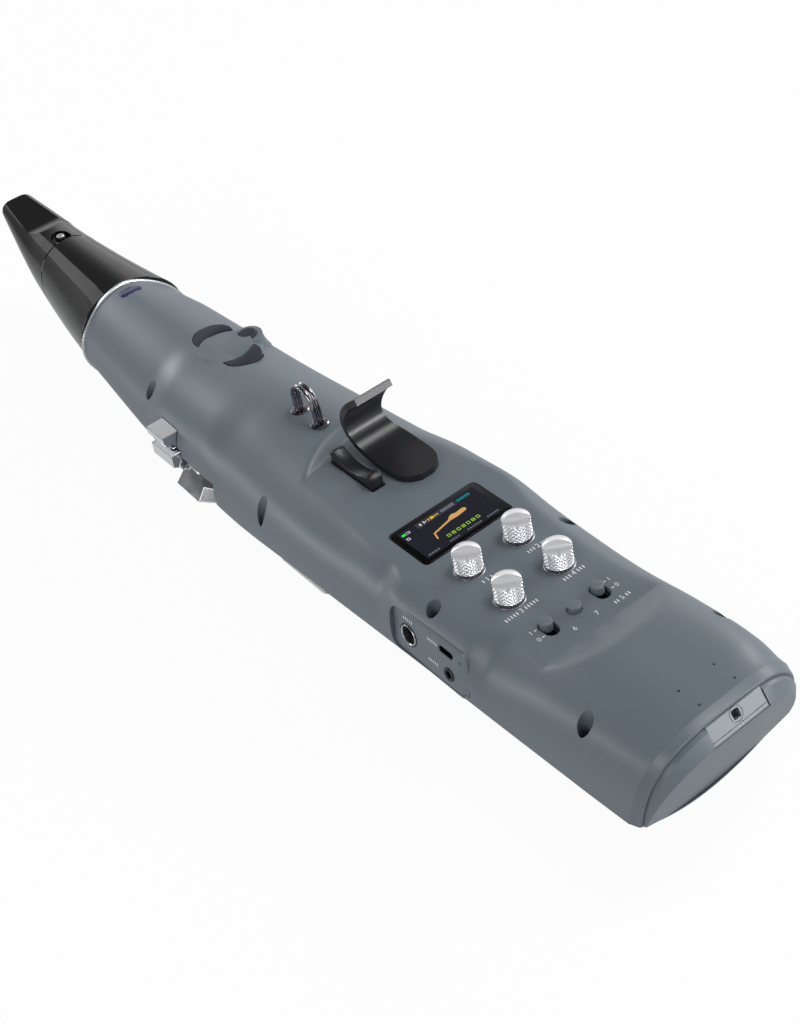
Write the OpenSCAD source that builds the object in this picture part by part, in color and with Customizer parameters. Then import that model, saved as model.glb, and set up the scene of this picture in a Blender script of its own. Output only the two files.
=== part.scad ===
// Digital wind controller: an electronic wind instrument held and fingered like a saxophone.
// It lies with its front keys down and its thumb side up. X runs along the body from the
// mouthpiece at -X to the tail at +X, +Y is the player's right, +Z is the thumb side.
// X = 0 is the middle of the length, Y = 0 the plane of symmetry, Z = 0 the lowest key touch.
// Heights inside the modules are taken from the flat control panel, which lies rest_h above Z = 0.

/* [Body] */
// Overall length, mouthpiece tip to end cap
total_length = 603; // [560:1:640]
// Length of the black mouthpiece, tip to neck ring
mouth_length = 134.5; // [125:0.5:145]
// Height of the control panel above the lowest key touch
rest_h = 60; // [59:0.5:64]
// Body width at the neck ring
ring_w = 69; // [62:1:74]
// Body width at the thumb pad
shoulder_w = 89; // [84:1:94]
// Greatest body width, beside the thumb hook
belly_w = 98.3; // [95:0.1:103]
// Body width beside the jacks
waist_w = 93.6; // [91:0.1:97]
// Body width at the tail
tail_w = 85.4; // [82:0.1:92]
// Wall thickness of both shells
wall = 2.4; // [1.8:0.1:3]
// Height of the spine at the strap ring over the control panel
spine_h = 6.2; // [4:0.1:8]
// Height of the tail over the control panel
tail_h = 8.6; // [6:0.2:11]
// Hairline between the rear shell and the front shell
parting_gap = 0.15; // [0.1:0.05:0.3]

/* [Display] */
// Width of the display glass across the body
glass_w = 50.2; // [44:0.1:52]
// Height of the display glass along the body
glass_h = 28.6; // [24:0.1:30]
// Middle of the display glass along the body
glass_x = 130.9; // [125:0.1:134]
// Thickness of the display glass
glass_t = 1.5; // [1:0.1:2]

/* [Knobs and switches] */
// Diameter of a knurled knob
knob_d = 12.8; // [11:0.1:14]
// Height of a knob over the panel
knob_h = 13.2; // [11:0.1:15]
// Diameter of a knob shaft
shaft_d = 6; // [5:0.1:6.5]
// Radial running clearance of a knob shaft
shaft_clear = 0.05; // [0.03:0.01:0.1]
// Position of the first knob row along the body
knob_x = 160.8; // [158:0.1:163]
// Distance between the two knob rows
knob_row = 26.1; // [22:0.1:28]
// Distance of each knob from the middle plane
knob_y = 13.9; // [12:0.1:18]
// Position of the switch row along the body
switch_x = 211.3; // [209:0.1:214]
// Distance of each slide switch from the middle plane
switch_y = 14.1; // [11:0.1:20]
// Diameter of a slide switch cap
cap_d = 5.8; // [5:0.1:6.4]
// Travel of a slide switch
slide_travel = 3.2; // [2.4:0.1:3.6]
// Diameter of the wireless button
button_d = 5.8; // [5:0.1:7]

/* [Jacks] */
// Bore of the headphone socket
phone_bore = 6.5; // [6.35:0.05:6.8]
// Bore of the small audio socket
aux_bore = 3.6; // [3.5:0.05:3.8]
// Width of the USB socket's mouth
usb_w = 9; // [8.6:0.1:9.4]
// Height of the USB socket's mouth
usb_h = 3.3; // [3:0.1:3.6]

/* [Thumb side] */
// Width of the thumb hook
hook_w = 24; // [20:1:25]
// Height of the thumb hook over the panel
hook_h = 29; // [24:1:34]
// Distance between the strap ring's feet
strap_span = 17; // [14:0.5:20]
// Height of the strap ring over the body
strap_h = 19; // [15:0.5:24]
// Diameter of the strap ring's wires
strap_wire = 2.8; // [2:0.1:3]
// Radius of the thumb rest disc
rest_r = 14.6; // [13:0.1:16]

/* [Keys] */
// Diameter of a pearl key's metal cup
cup_d = 19; // [16:0.5:20]
// Travel of every finger key
key_travel = 2.5; // [2:0.1:3]
// Reach of the palm and side keys from the middle plane
key_reach = 53.5; // [52:0.5:57]
// Gap around a key in its opening
key_gap = 0.4; // [0.3:0.05:0.6]

/* [Hidden] */

shell_grey = [0.40, 0.44, 0.47];
gloss_black = [0.02, 0.02, 0.025];
satin_black = [0.06, 0.06, 0.065];
dark_rubber = [0.08, 0.08, 0.14];
chrome = [0.80, 0.80, 0.82];
dark_chrome = [0.35, 0.35, 0.38];
pearl = [0.90, 0.89, 0.85];
board_green = [0.10, 0.30, 0.18];

around = 28;
under = 20;
half_l = total_length / 2;
ring_x = mouth_length - half_l;
tail_x = half_l - 9.5;

// A smooth curve through knots [[x, value], ...], flat outside them
function span(k, x, i = 0) = i >= len(k) - 2 || x < k[i + 1][0] ? i : span(k, x, i + 1);
function slope(k, i) = let (a = max(i - 1, 0), b = min(i + 1, len(k) - 1))
    (k[b][1] - k[a][1]) / (k[b][0] - k[a][0]);
function curve(k, x) =
    let (i = span(k, x), h = k[i + 1][0] - k[i][0], t = min(max((x - k[i][0]) / h, 0), 1))
    k[i][1] * (2 * t ^ 3 - 3 * t ^ 2 + 1) + slope(k, i) * h * (t ^ 3 - 2 * t ^ 2 + t)
    + k[i + 1][1] * (3 * t ^ 2 - 2 * t ^ 3) + slope(k, i + 1) * h * (t ^ 3 - t ^ 2);
function ease(t) = let (u = min(max(t, 0), 1)) u * u * (3 - 2 * u);
function pw(v, e) = sign(v) * abs(v) ^ e;
function shares(a, b, n) = [for (i = [0:n]) a + (b - a) * i / n];
function backwards(v) = [for (i = [len(v) - 1:-1:0]) v[i]];

// The body's section: half width, height of the parting edge, crown, squareness and belly
step_x = 39;
step_skew = 0.27;
step_slope = 0.81;
ramp_x = 226;
ramp_slope = 0.5;
soft = 1.6;
shoulder_x = -60;
belly_x = 75;
waist_x = 180;
width_knots = [[ring_x, ring_w / 2], [shoulder_x, shoulder_w / 2], [belly_x, belly_w / 2],
    [waist_x, waist_w / 2], [tail_x, tail_w / 2]];
edge_knots = [[ring_x, -21.5], [shoulder_x, -34.4], [0, -39.2], [belly_x, -33], [140, -31.5], [tail_x, -35]];
crown_knots = [[ring_x, spine_h + 1.8], [-100, spine_h], [shoulder_x, spine_h - 0.9], [0, spine_h + 0.5],
    [37, spine_h - 0.9], [65, 4.9], [95, 5.6], [125, 8.4], [147, 5], [175, 4], [208, 4.2], [240, tail_h - 0.6],
    [tail_x, tail_h + 1.4]];
belly_knots = [[ring_x, 26.5], [-110, 22.5], [shoulder_x, 15.7], [0, 13.5], [belly_x, 12.5],
    [waist_x, 14.5], [tail_x, 18]];
square_knots = [[ring_x, 1.78], [shoulder_x, 1.86], [30, 2.18], [60, 2.28], [120, 2.34], [200, 2.3], [tail_x, 3.3]];
round_knots = [[ring_x, 2], [shoulder_x, 1.6], [0, 1.2], [belly_x, 1], [tail_x, 1]];
flank_bulge = 1;
function half_w(x) = curve(width_knots, x);
function edge_z(x) = curve(edge_knots, x);
function square_at(x, y) = curve(square_knots, x)
    + (y < 0 ? flank_bulge * ease((x - 130) / 16) * ease((203 - x) / 14) : 0);
// The control panel is a flat cut into the crown, with a slanted step before it and a ramp behind it
function cut_z(x, y) = max(0, (step_x + 8 - x - step_skew * y) * step_slope, (x - ramp_x) * ramp_slope);
function dome_z(x, y, d) = let (n = square_at(x, y), e = edge_z(x))
    e + (curve(crown_knots, x) - e - d) * (1 - min(abs(y) / (half_w(x) - d), 1) ^ n) ^ (1 / n);
function over_z(x, y, d) = let (a = dome_z(x, y, d), b = cut_z(x, y) - d, h = max(soft - abs(a - b), 0) / soft)
    min(a, b) - h * h * soft / 4;
function below_z(x, y, d) = edge_z(x) - parting_gap
    - (curve(belly_knots, x) - d) * (1 - min(abs(y) / (half_w(x) - d), 1) ^ 2) ^ (1 / curve(round_knots, x));

// The tail end leans: its front edge lies nearer the mouthpiece than its thumb edge
lean_x = tail_x - 30;
lean = 0.225;
bevel = 2.2;
bevel_l = 4.5;
rim_land = 0.8;
function leaned(x, z) = x - lean * (tail_h - z) * min(max((x - lean_x) / (tail_x - lean_x), 0), 1);

// Points of a section, inset by d, both running from -Y to +Y
function over(x, xs, d) = let (w = half_w(x) - d)
    [for (i = [0:around]) let (c = cos(180 * i / around), y = -w * pw(c, 2 / square_at(x, -c)),
        z = over_z(x, y, d)) [leaned(xs, z), y, z]];
function below(x, xs, d) = let (w = half_w(x) - d)
    [for (i = [0:under]) let (y = -w * cos(180 * i / under), z = below_z(x, y, d))
        [leaned(xs, z), y, z]];
function whole(x, xs, d) = concat(over(x, xs, d), backwards(below(x, xs, d)));

// Stations along the body, closer together where the surface steps
stations = concat([for (i = [0:11]) ring_x + (step_x - 16 - ring_x) * i / 11],
    [for (x = [step_x - 8:3:step_x + 22]) x], [68, 76, 85, 95, 105, 115, 125, 136, 148, 160, 175, 192, 208, 218],
    [for (x = [ramp_x - 2:4:ramp_x + 22]) x], shares(max(ramp_x + 26, tail_x - 37), tail_x, 4));

// Skin of an open wall: every row holds the outer points, then the inner points backwards
module wall_skin(rows, n, flip) {
    m = 2 * n + 2;
    k = (len(rows) - 1) * m;
    sides = [for (j = [0:len(rows) - 2]) for (i = [0:m - 1])
        let (a = j * m + i, b = j * m + (i + 1) % m) each [[a, b, b + m], [a, b + m, a + m]]];
    ends = [for (i = [0:n - 1]) let (a = i, b = i + 1, c = m - 2 - i, d = m - 1 - i)
        each [[a, c, b], [a, d, c], [k + a, k + b, k + c], [k + a, k + c, k + d]]];
    faces = concat(sides, ends);
    polyhedron([for (r = rows) each r], flip ? [for (f = faces) [f[0], f[2], f[1]]] : faces);
}
// Closed skin through rings of points, with flat ends
module solid_skin(rings) {
    m = len(rings[0]);
    k = (len(rings) - 1) * m;
    sides = [for (j = [0:len(rings) - 2]) for (i = [0:m - 1])
        let (a = j * m + i, b = j * m + (i + 1) % m) each [[a, b, b + m], [a, b + m, a + m]]];
    polyhedron([for (r = rings) each r],
        concat(sides, [[for (i = [m - 1:-1:0]) i], [for (i = [0:m - 1]) k + i]]));
}

module lift() { translate([0, 0, rest_h]) children(); }
module both() {
    children();
    mirror([0, 1, 0]) children();
}
module rod(x, y, d, z0, z1) {
    translate([x, y, z0]) cylinder(d = d, h = z1 - z0, $fn = 48);
}
module cross_rod(x, z, d, y0, y1) {
    translate([x, y1, z]) rotate([90, 0, 0]) cylinder(d = d, h = y1 - y0, $fn = 48);
}
module box(x0, x1, y0, y1, z0, z1) {
    translate([x0, y0, z0]) cube([x1 - x0, y1 - y0, z1 - z0]);
}
module pill(len_x, d, h) {
    linear_extrude(h) {
        square([len_x - d, d], center = true);
        for (s = [-1, 1]) translate([s * (len_x - d) / 2, 0]) circle(d = d, $fn = 48);
    }
}
module round_plate(a, b, h, r) {
    linear_extrude(h) {
        square([a - 2 * r, b], center = true);
        square([a, b - 2 * r], center = true);
        for (u = [-1, 1], v = [-1, 1]) translate([u * (a / 2 - r), v * (b / 2 - r)]) circle(r = r, $fn = 32);
    }
}
module side_profile(points, y0, y1) {
    translate([0, y1, 0]) rotate([90, 0, 0]) linear_extrude(y1 - y0) polygon(points);
}

window_x = ring_x + 8.9;
sensor_x = ring_x + 17;

// Case screws sit at the bottom of deep wells; each bites into a post of the front shell
well_d = 7;
well_wall = 1.4;
screw_head_d = 5.6;
screw_d = 2.6;
well_spots = [[-87, 33], [36, 43.8], [165.1, 37.5], [tail_x - 35.5, 36.6]];
function well_floor(p) = edge_z(p[0]) + 7;
function post_reach(p) = abs(p[0] - jack_x) < jack_w / 2 ? 39.8 : half_w(p[0]) - wall - 0.4;

// Thumb rest disc with two octave keys beside it and a round octave button on its own lobe
rest_x = -66.5;
rest_y = 6.5;
rest_top = 5.2;
key_top = 5.6;
lobe_x = -69;
lobe_y = 22.1;
button_r = 4.9;
board_top = -6;
lobe_r = 8;
module octave_outline(grow, x, y, r) {
    difference() {
        translate([x, y]) circle(r = r + grow, $fn = 64);
        translate([rest_x, rest_y]) circle(r = rest_r + 0.6 - grow, $fn = 64);
    }
}
up_spot = [-80.5, 7.5, 11];
down_spot = [-52, 8, 10.5];

// Strap ring, hook and bend lever
strap_x = 22.75;
hook_x = 86.5;
hook_y = 13.7;
hook_arc_r = 20;
lever_x = 70;
lever_y = -6.8;
lever_w = 7;
lever_l = 33;
pin_z = -4;

// Front keys: stems run in sleeves of the front shell, and boards lie on the sleeves' ends
stem_d = 6;
stem_clear = 0.08;
sleeve_d = 11;
left_board_z = -42;
right_board_z = -37;
left_spots = [-108, -84, -60];
right_spots = [92, 117, 142];
left_cup_top = -56;
right_cup_top = -50.6;
left_table = [46, -26];
right_table = [176, 24];
left_table_sleeve = -37;
right_table_sleeve = -31;

// Palm keys on the left flank and side keys on the right: stems run in upright ribs
rib_y = 33;
rib_t = 2.5;
side_stem_d = 5;
palm_stems = [[-60, -18.8], [-57, -28.2], [-29, -37]];
side_stems = [[-8, -39.5], [19.5, -39.5]];

// Jack plate on the left flank, with its own frame: x along the body, y up, z outwards
jack_x = 167.5;
jack_w = 49;
jack_h = 22;
module on_flank() {
    translate([jack_x, -45.6, -20]) rotate([82, 0, 0]) children();
}
phone_spot = [-14.2, -0.7];
usb_spot = [11.8, 6.4];
aux_spot = [13.4, -4.6];
light_spot = [21, 6.4];

knob_spots = [[knob_x, knob_y], [knob_x, -knob_y], [knob_x + knob_row, knob_y], [knob_x + knob_row, -knob_y]];
boss_spots = [[104, 24], [200, 25], [tail_x - 30, 15]];
main_board_top = -11;

module rear_skin() {
    wall_skin(concat([for (x = stations) concat(over(x, x, 0), backwards(over(x, x, wall)))],
        [concat(over(tail_x, tail_x + bevel_l, bevel),
            backwards(over(tail_x, tail_x + bevel_l, bevel + rim_land)))]), around, false);
}
// A round boss whose side runs out in a hollow curve
module flare(r, top, foot, out) {
    rotate_extrude($fn = 72) polygon(concat([[0, foot], [r + out, foot]],
        [for (t = [0.25:0.25:1]) [r + out * (1 - t) ^ 2, foot + (top - foot) * t]], [[0, top]]));
}
module well_tubes() {
    both() for (p = well_spots) intersection() {
        rod(p[0], p[1], well_d + 2 * well_wall, well_floor(p) - 2, 10);
        solid_skin([for (x = [p[0] - 8, p[0], p[0] + 8]) over(x, x, 0.5)]);
    }
}
module rear_bosses() {
    both() for (p = boss_spots) rod(p[0], p[1], 6, main_board_top, over_z(p[0], p[1] + 3, 1.2));
    for (x = [-118, -34]) rod(x, 0, 6, board_top, over_z(x, 3, 1.2));
    for (s = [-1, 1]) box(lever_x - 3, lever_x + 3, lever_y + s * 6.2 - 1, lever_y + s * 6.2 + 1, pin_z - 3, -1.2);
}
module rear_openings() {
    both() for (p = well_spots) {
        rod(p[0], p[1], well_d, well_floor(p), 20);
        rod(p[0], p[1], screw_d + 0.2, well_floor(p) - 5, 20);
    }
    translate([window_x, 0, 0]) rotate([0, 0, 90]) pill(13.4, 7, 20);
    translate([0, 0, -5.6]) linear_extrude(22.6) {
        octave_outline(key_gap, up_spot[0], up_spot[1], up_spot[2]);
        octave_outline(key_gap, down_spot[0], down_spot[1], down_spot[2]);
    }
    rod(lobe_x, lobe_y, 2 * (button_r + 0.06), -10, 20);
    box(lobe_x - 13, lobe_x + 13, 5, 17.5, -12, board_top + 0.3);
    for (s = [-1, 1]) {
        rod(strap_x + s * strap_span / 2, 0, 9.5, spine_h - 1, 20);
        translate([strap_x + s * strap_span / 2, 0, -2]) linear_extrude(12) wire_pair(0);
    }
    box(lever_x - lever_l / 2 - 0.8, lever_x + lever_l / 2 + 0.8, lever_y - lever_w / 2 - 0.5,
        lever_y + lever_w / 2 + 0.5, -8, 10);
    cross_rod(lever_x, pin_z, 2.5, lever_y - 8, lever_y + 8);
    translate([glass_x, 0, -glass_t + 0.2]) round_plate(glass_h, glass_w, 5, 2.5);
    translate([glass_x, 0, -5]) round_plate(glass_h - 3, glass_w - 3, 5, 1.5);
    for (p = knob_spots) rod(p[0], p[1], 7.6, -5, 5);
    both() translate([switch_x, switch_y, -5]) pill(10, 6.8, 10);
    rod(switch_x, 0, button_d + 0.12, -5, 5);
    on_flank() {
        translate([0, 0, -2]) round_plate(jack_w, jack_h, 12, 4);
        translate([phone_spot[0], phone_spot[1], -12]) cylinder(d = 13.4, h = 12, $fn = 48);
        translate([aux_spot[0], aux_spot[1], -12]) cylinder(d = 9.4, h = 12, $fn = 48);
        translate([usb_spot[0] - 5, usb_spot[1] - 2.2, -12]) cube([10, 4.4, 12]);
        translate([light_spot[0], light_spot[1], -12]) cylinder(d = 2, h = 12, $fn = 32);
    }
    key_openings();
}
module key_openings() {
    box(-66.5 - key_gap, -49.3 + key_gap, -62, -34, -23.5 - key_gap, -14.5 + key_gap);
    box(-66 - key_gap, -45 + key_gap, -62, -34, -35.9 - key_gap, -23.6 + key_gap);
    box(-46.2 - key_gap, -11.7 + key_gap, -62, -34, -46.9 - key_gap, -27 + key_gap);
    for (p = side_stems) box(p[0] - 12 - key_gap, p[0] + 12 + key_gap, 34, 62, -44.5 - key_gap, -36 + key_gap);
}
module rear_shell() {
    color(shell_grey) lift() difference() {
        union() {
            rear_skin();
            translate([rest_x, rest_y]) flare(rest_r, rest_top, -1, 5);
            translate([lobe_x, lobe_y]) flare(lobe_r, 3.4, -7.2, 3);
            intersection() {
                on_flank() translate([0, 0, -6]) round_plate(jack_w + 3.2, jack_h + 2, 6, 5);
                box(jack_x - jack_w, jack_x + jack_w, -60, -30, edge_z(140) + 0.1, 0);
            }
            well_tubes();
            rear_bosses();
        }
        rear_openings();
    }
}

module front_skin() {
    wall_skin(concat([for (x = stations) concat(below(x, x, 0), backwards(below(x, x, wall)))],
        [concat(below(tail_x, tail_x + bevel_l, bevel),
            backwards(below(tail_x, tail_x + bevel_l, bevel + rim_land)))]), under, true);
}
module front_posts() {
    both() for (p = well_spots) {
        intersection() {
            rod(p[0], p[1], 7, -70, edge_z(p[0]) - 1);
            solid_skin([for (x = [p[0] - 8, p[0], p[0] + 8]) backwards(below(x, x, 0.5))]);
        }
        intersection() {
            rod(p[0], p[1], 7, edge_z(p[0]) - 2, well_floor(p) - 2);
            box(p[0] - 9, p[0] + 9, 0, post_reach(p), edge_z(p[0]) - 3, well_floor(p));
        }
    }
    intersection() {
        union() {
            for (x = left_spots) rod(x, 0, sleeve_d, -60, left_board_z);
            for (x = right_spots) rod(x, 0, sleeve_d, -60, right_board_z);
            rod(left_table[0], left_table[1], sleeve_d, -60, left_table_sleeve);
            rod(right_table[0], right_table[1], sleeve_d, -60, right_table_sleeve);
            box(-76, -12, -rib_y, rib_t - rib_y, -60, -14);
            box(-24, 31, rib_y - rib_t, rib_y, -60, -35);
        }
        solid_skin([for (x = [-130:24.5:190.2]) whole(x, x, 0.9)]);
    }
}
module front_shell() {
    color(shell_grey) lift() difference() {
        union() {
            front_skin();
            front_posts();
        }
        both() for (p = well_spots) rod(p[0], p[1], screw_d, edge_z(p[0]) - 4, 0);
        for (x = concat(left_spots, right_spots)) rod(x, 0, stem_d + 2 * stem_clear, -70, -20);
        for (p = [left_table, right_table]) rod(p[0], p[1], stem_d + 2 * stem_clear, -70, -20);
        for (p = palm_stems) cross_rod(p[0], p[1], side_stem_d + 2 * stem_clear, -40, -20);
        for (p = side_stems) cross_rod(p[0], p[1], side_stem_d + 2 * stem_clear, 20, 40);
        key_openings();
    }
}

// Mouthpiece: [x, half width, middle, top, bottom] of its sections
beak_x = 65 - half_l;
ledge_x = 39.5 - half_l;
throat_x = beak_x + 0.45 * (ring_x - beak_x);
mouth_squares = [[-half_l, 2.7], [ledge_x, 2.25], [beak_x, 2.2], [ring_x, 2.1]];
mouth_w = [[-half_l, 10.7], [ledge_x, 19.3], [beak_x, 23.2], [throat_x, 28.2], [ring_x, 34.3]];
mouth_mid = [[-half_l, 13.4], [ledge_x, -5.5], [beak_x, -13.5], [throat_x, -18.5], [ring_x, -20]];
mouth_top = [[-half_l, 20.8], [ledge_x, 15.4], [beak_x, 13.5], [throat_x, 11], [ring_x, 7.9]];
mouth_low = [[-half_l, 9], [ledge_x, -26], [beak_x, -41], [throat_x, -46.5], [ring_x, -46.8]];
function mouth_ring(x, d) = let (c = curve(mouth_mid, x), u = curve(mouth_top, x) - c - d,
    l = c - curve(mouth_low, x) - d, w = curve(mouth_w, x) - d, q = 2 / curve(mouth_squares, x))
    [for (i = [0:39]) let (t = 9 * i) [x, -w * pw(cos(t), q), c + (sin(t) > 0 ? u : l) * pw(sin(t), q)]];
tube_z = -14;
module mouthpiece_base() {
    color(gloss_black) lift() difference() {
        union() {
            solid_skin([for (x = shares(beak_x, ring_x - 2, 6)) mouth_ring(x, 0)]);
            solid_skin([for (x = [beak_x - 12, beak_x - 6, beak_x + 1]) mouth_ring(x, 3.2)]);
        }
        solid_skin([for (x = shares(beak_x + 4, ring_x - 1, 6)) mouth_ring(x, 3.2)]);
        translate([beak_x - 20, 0, tube_z]) rotate([0, 90, 0]) cylinder(d = 8, h = 40, $fn = 48);
        rod(screw_x, 0, 2.2, -2, 20);
    }
}
screw_x = beak_x - 5.6;
// The flat reed table falls away from the tip and ends in a scooped ledge
function table_z(x) = 20 - 0.1975 * (x + half_l);
module mouthpiece_beak() {
    color(gloss_black) lift() difference() {
        solid_skin([for (x = concat(shares(-half_l, ledge_x, 5), [ledge_x + 12.5, beak_x])) mouth_ring(x, 0)]);
        side_profile(concat([[-half_l - 1, 30], [-half_l - 1, table_z(-half_l - 1)]],
            [for (t = [0:2:12]) [ledge_x - 8 + t, table_z(ledge_x - 8 + t) + 0.037 * t * t]],
            [[ledge_x + 4, 30]]), -25, 25);
        side_profile([[-half_l - 1, 17.5], [-half_l - 1, 16.3], [-half_l + 9, 15.6]], -20, 20);
        solid_skin([for (x = [beak_x - 12.1, beak_x - 6, beak_x + 1]) mouth_ring(x, 3.1)]);
        side_profile([[-half_l - 1, 17.8], [-half_l - 1, 15.6], [beak_x - 12, -18], [beak_x - 12, -9]], -4.5, 4.5);
        rod(screw_x, 0, 2.8, -2, 20);
        rod(screw_x, 0, 9.6, 12, 20);
        box(screw_x, screw_x + 5, -4.8, 4.8, 12, 20);
    }
}
module mouthpiece_screw() {
    color(dark_chrome) lift() difference() {
        union() {
            rod(screw_x, 0, 5, 12, 13.9);
            rod(screw_x, 0, 2.2, 4, 12.5);
        }
        box(screw_x - 2, screw_x + 2, -0.35, 0.35, 13.1, 15);
        box(screw_x - 0.35, screw_x + 0.35, -2, 2, 13.1, 15);
    }
}
module neck_ring() {
    color(chrome) lift() difference() {
        solid_skin([whole(ring_x, ring_x - 2, -0.9), whole(ring_x, ring_x, -0.9)]);
        solid_skin([whole(ring_x, ring_x - 3, 3.4), whole(ring_x, ring_x + 1, 3.4)]);
    }
}
module breath_tube() {
    color(satin_black) lift() translate([beak_x - 12, 0, tube_z]) rotate([0, 90, 0]) difference() {
        cylinder(d = 8, h = sensor_x - beak_x + 12, $fn = 48);
        translate([0, 0, -1]) cylinder(d = 5, h = 140, $fn = 48);
    }
}
module breath_sensor() {
    color(satin_black) lift() box(sensor_x, sensor_x + 22, -9, 9, -20, board_top - 1.6);
}
module sensor_window() {
    color([0.10, 0.10, 0.25]) lift() translate([window_x, 0, 4.4]) rotate([0, 0, 90]) pill(13.4, 7, 3.1);
}

module octave_key(p, stem_x) {
    lift() {
        translate([0, 0, -2.8]) linear_extrude(key_top + 2.8) octave_outline(0, p[0], p[1], p[2]);
        translate([0, 0, -4]) linear_extrude(1.5) difference() {
            octave_outline(1.2, p[0], p[1], p[2]);
            translate([lobe_x, lobe_y]) circle(r = lobe_r + 2.6, $fn = 64);
        }
        rod(stem_x, p[1], 4, -9.5, -2);
    }
}
module octave_up_key() { color(dark_rubber) octave_key(up_spot, -86); }
module octave_down_key() { color(dark_rubber) octave_key(down_spot, -46.5); }
module octave_button() {
    color(dark_rubber) lift() {
        rod(lobe_x, lobe_y, 2 * button_r, -9, 4.8);
        rod(lobe_x, lobe_y, 11.2, -10.2, -8.8);
    }
}
module thumb_board() {
    color(board_green) lift() difference() {
        box(sensor_x - 2, -28, -13, 17, board_top - 1.6, board_top);
        rod(-86, up_spot[1], 4.16, -12, 0);
        rod(-46.5, down_spot[1], 4.16, -12, 0);
        rod(lobe_x, lobe_y, 12.4, -12, 0);
    }
}

module wire_pair(grow) {
    for (s = [-1, 1]) translate([0, s * 1.25]) circle(d = strap_wire + grow, $fn = 48);
}
module strap_ring() {
    color(dark_chrome) lift() translate([strap_x, 0, spine_h + strap_h - strap_span / 2 - strap_wire / 2]) {
        rotate([90, 0, 0]) rotate_extrude(angle = 180, $fn = 96)
            translate([strap_span / 2, 0]) rotate([0, 0, 90]) wire_pair(0);
        for (s = [-1, 1]) translate([s * strap_span / 2, 0, -strap_h + strap_span / 2 - 3.4])
            linear_extrude(strap_h - strap_span / 2 + 3.4) wire_pair(0);
    }
}
module strap_washers() {
    color(dark_chrome) lift() for (s = [-1, 1]) translate([strap_x + s * strap_span / 2, 0, spine_h - 1])
        linear_extrude(1.9) difference() {
            circle(d = 9.5, $fn = 48);
            wire_pair(0);
        }
}
module thumb_hook() {
    color(satin_black) lift() intersection() {
        union() {
            translate([0, hook_y, 0]) linear_extrude(3.4) {
                translate([hook_x, 0]) circle(d = hook_w, $fn = 64);
                translate([56, -hook_w / 2]) square([hook_x - 56, hook_w]);
            }
            side_profile(concat([for (a = [138:6:234]) [76, 16.5] + (hook_arc_r + 3) * [cos(a), sin(a)]],
                [for (a = [234:-6:138]) [76, 16.5] + hook_arc_r * [cos(a), sin(a)]]),
                hook_y - 13, hook_y + 13);
        }
        translate([120, 0, 0]) rotate([0, -90, 0]) linear_extrude(80)
            polygon([[0, hook_y - 12], [14, hook_y - 14], [hook_h - 1, hook_y - 13], [hook_h + 2.5, hook_y - 9],
                [hook_h + 3.5, hook_y + 6], [hook_h - 1, hook_y + 12.3], [18, hook_y + 8], [4, hook_y + 12],
                [0, hook_y + 12]]);
    }
}
module bend_lever() {
    a = lever_l / 2;
    color(satin_black) lift() difference() {
        side_profile(concat([[lever_x - a, 7], [lever_x - a, -1], [lever_x - 5, pin_z - 2.4],
            [lever_x + 5, pin_z - 2.4], [lever_x + a, -1], [lever_x + a, 7]],
            [for (i = [8:-1:-8]) [lever_x + (a - 1) * i / 8, 3.2 + 4.4 * abs(i / 8) ^ 1.7]]),
            lever_y - lever_w / 2, lever_y + lever_w / 2);
        cross_rod(lever_x, pin_z, 2.6, lever_y - 8, lever_y + 8);
    }
}
module lever_pin() {
    color(chrome) lift() cross_rod(lever_x, pin_z, 2.5, lever_y - 7.2, lever_y + 7.2);
}

module display_glass() {
    color(gloss_black) lift() translate([glass_x, 0, 0.2 - glass_t]) round_plate(glass_h, glass_w, glass_t, 2.5);
}
module display_module() {
    color(board_green) lift() {
        translate([glass_x, 0, -6.2]) round_plate(glass_h + 3, glass_w + 3, 2.5, 1);
        translate([glass_x, 0, -6]) round_plate(glass_h - 4, glass_w - 4, 6.2 - glass_t, 1);
    }
}

// Knobs: a fluted cylinder, a low dome, and a scoop with a groove towards the player's left
module knob(i) {
    p = knob_spots[i];
    r = knob_d / 2;
    top = knob_h - 2;
    color(chrome) lift() translate([p[0], p[1], 0]) difference() {
        rotate_extrude($fn = 96) polygon(concat([[0, -7.2], [shaft_d / 2, -7.2], [shaft_d / 2, 1.2],
            [r - 0.4, 1.2], [r, 1.6], [r, top]],
            [for (a = [10:10:90]) [r * cos(a) ^ 0.8, top + 2 * sin(a)]]));
        for (k = [0:23]) rotate([0, 0, 15 * k + 7.5]) translate([r + 0.25, 0, 0.5])
            cylinder(d = 1.1, h = top - 1.6, $fn = 16);
        rotate([0, 0, -30]) translate([0.6, -8, top - 0.4]) cube([10, 16, 4]);
        rotate([0, 0, -30]) translate([-1.8, -8, top + 1.2]) cube([0.8, 16, 2]);
    }
}
module knob_washers() {
    color(chrome) lift() for (p = knob_spots) translate([p[0], p[1], 0]) difference() {
        cylinder(d = 14.2, h = 0.8, $fn = 64);
        translate([0, 0, -1]) cylinder(d = 7.6, h = 3, $fn = 48);
    }
}
module encoders() {
    color(satin_black) lift() for (p = knob_spots) difference() {
        union() {
            box(p[0] - 6, p[0] + 6, p[1] - 6, p[1] + 6, -8.4, -wall - 0.1);
            rod(p[0], p[1], 7.6, -wall - 0.5, 0.8);
        }
        rod(p[0], p[1], shaft_d + 2 * shaft_clear, -7.7, 3);
    }
}

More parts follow.
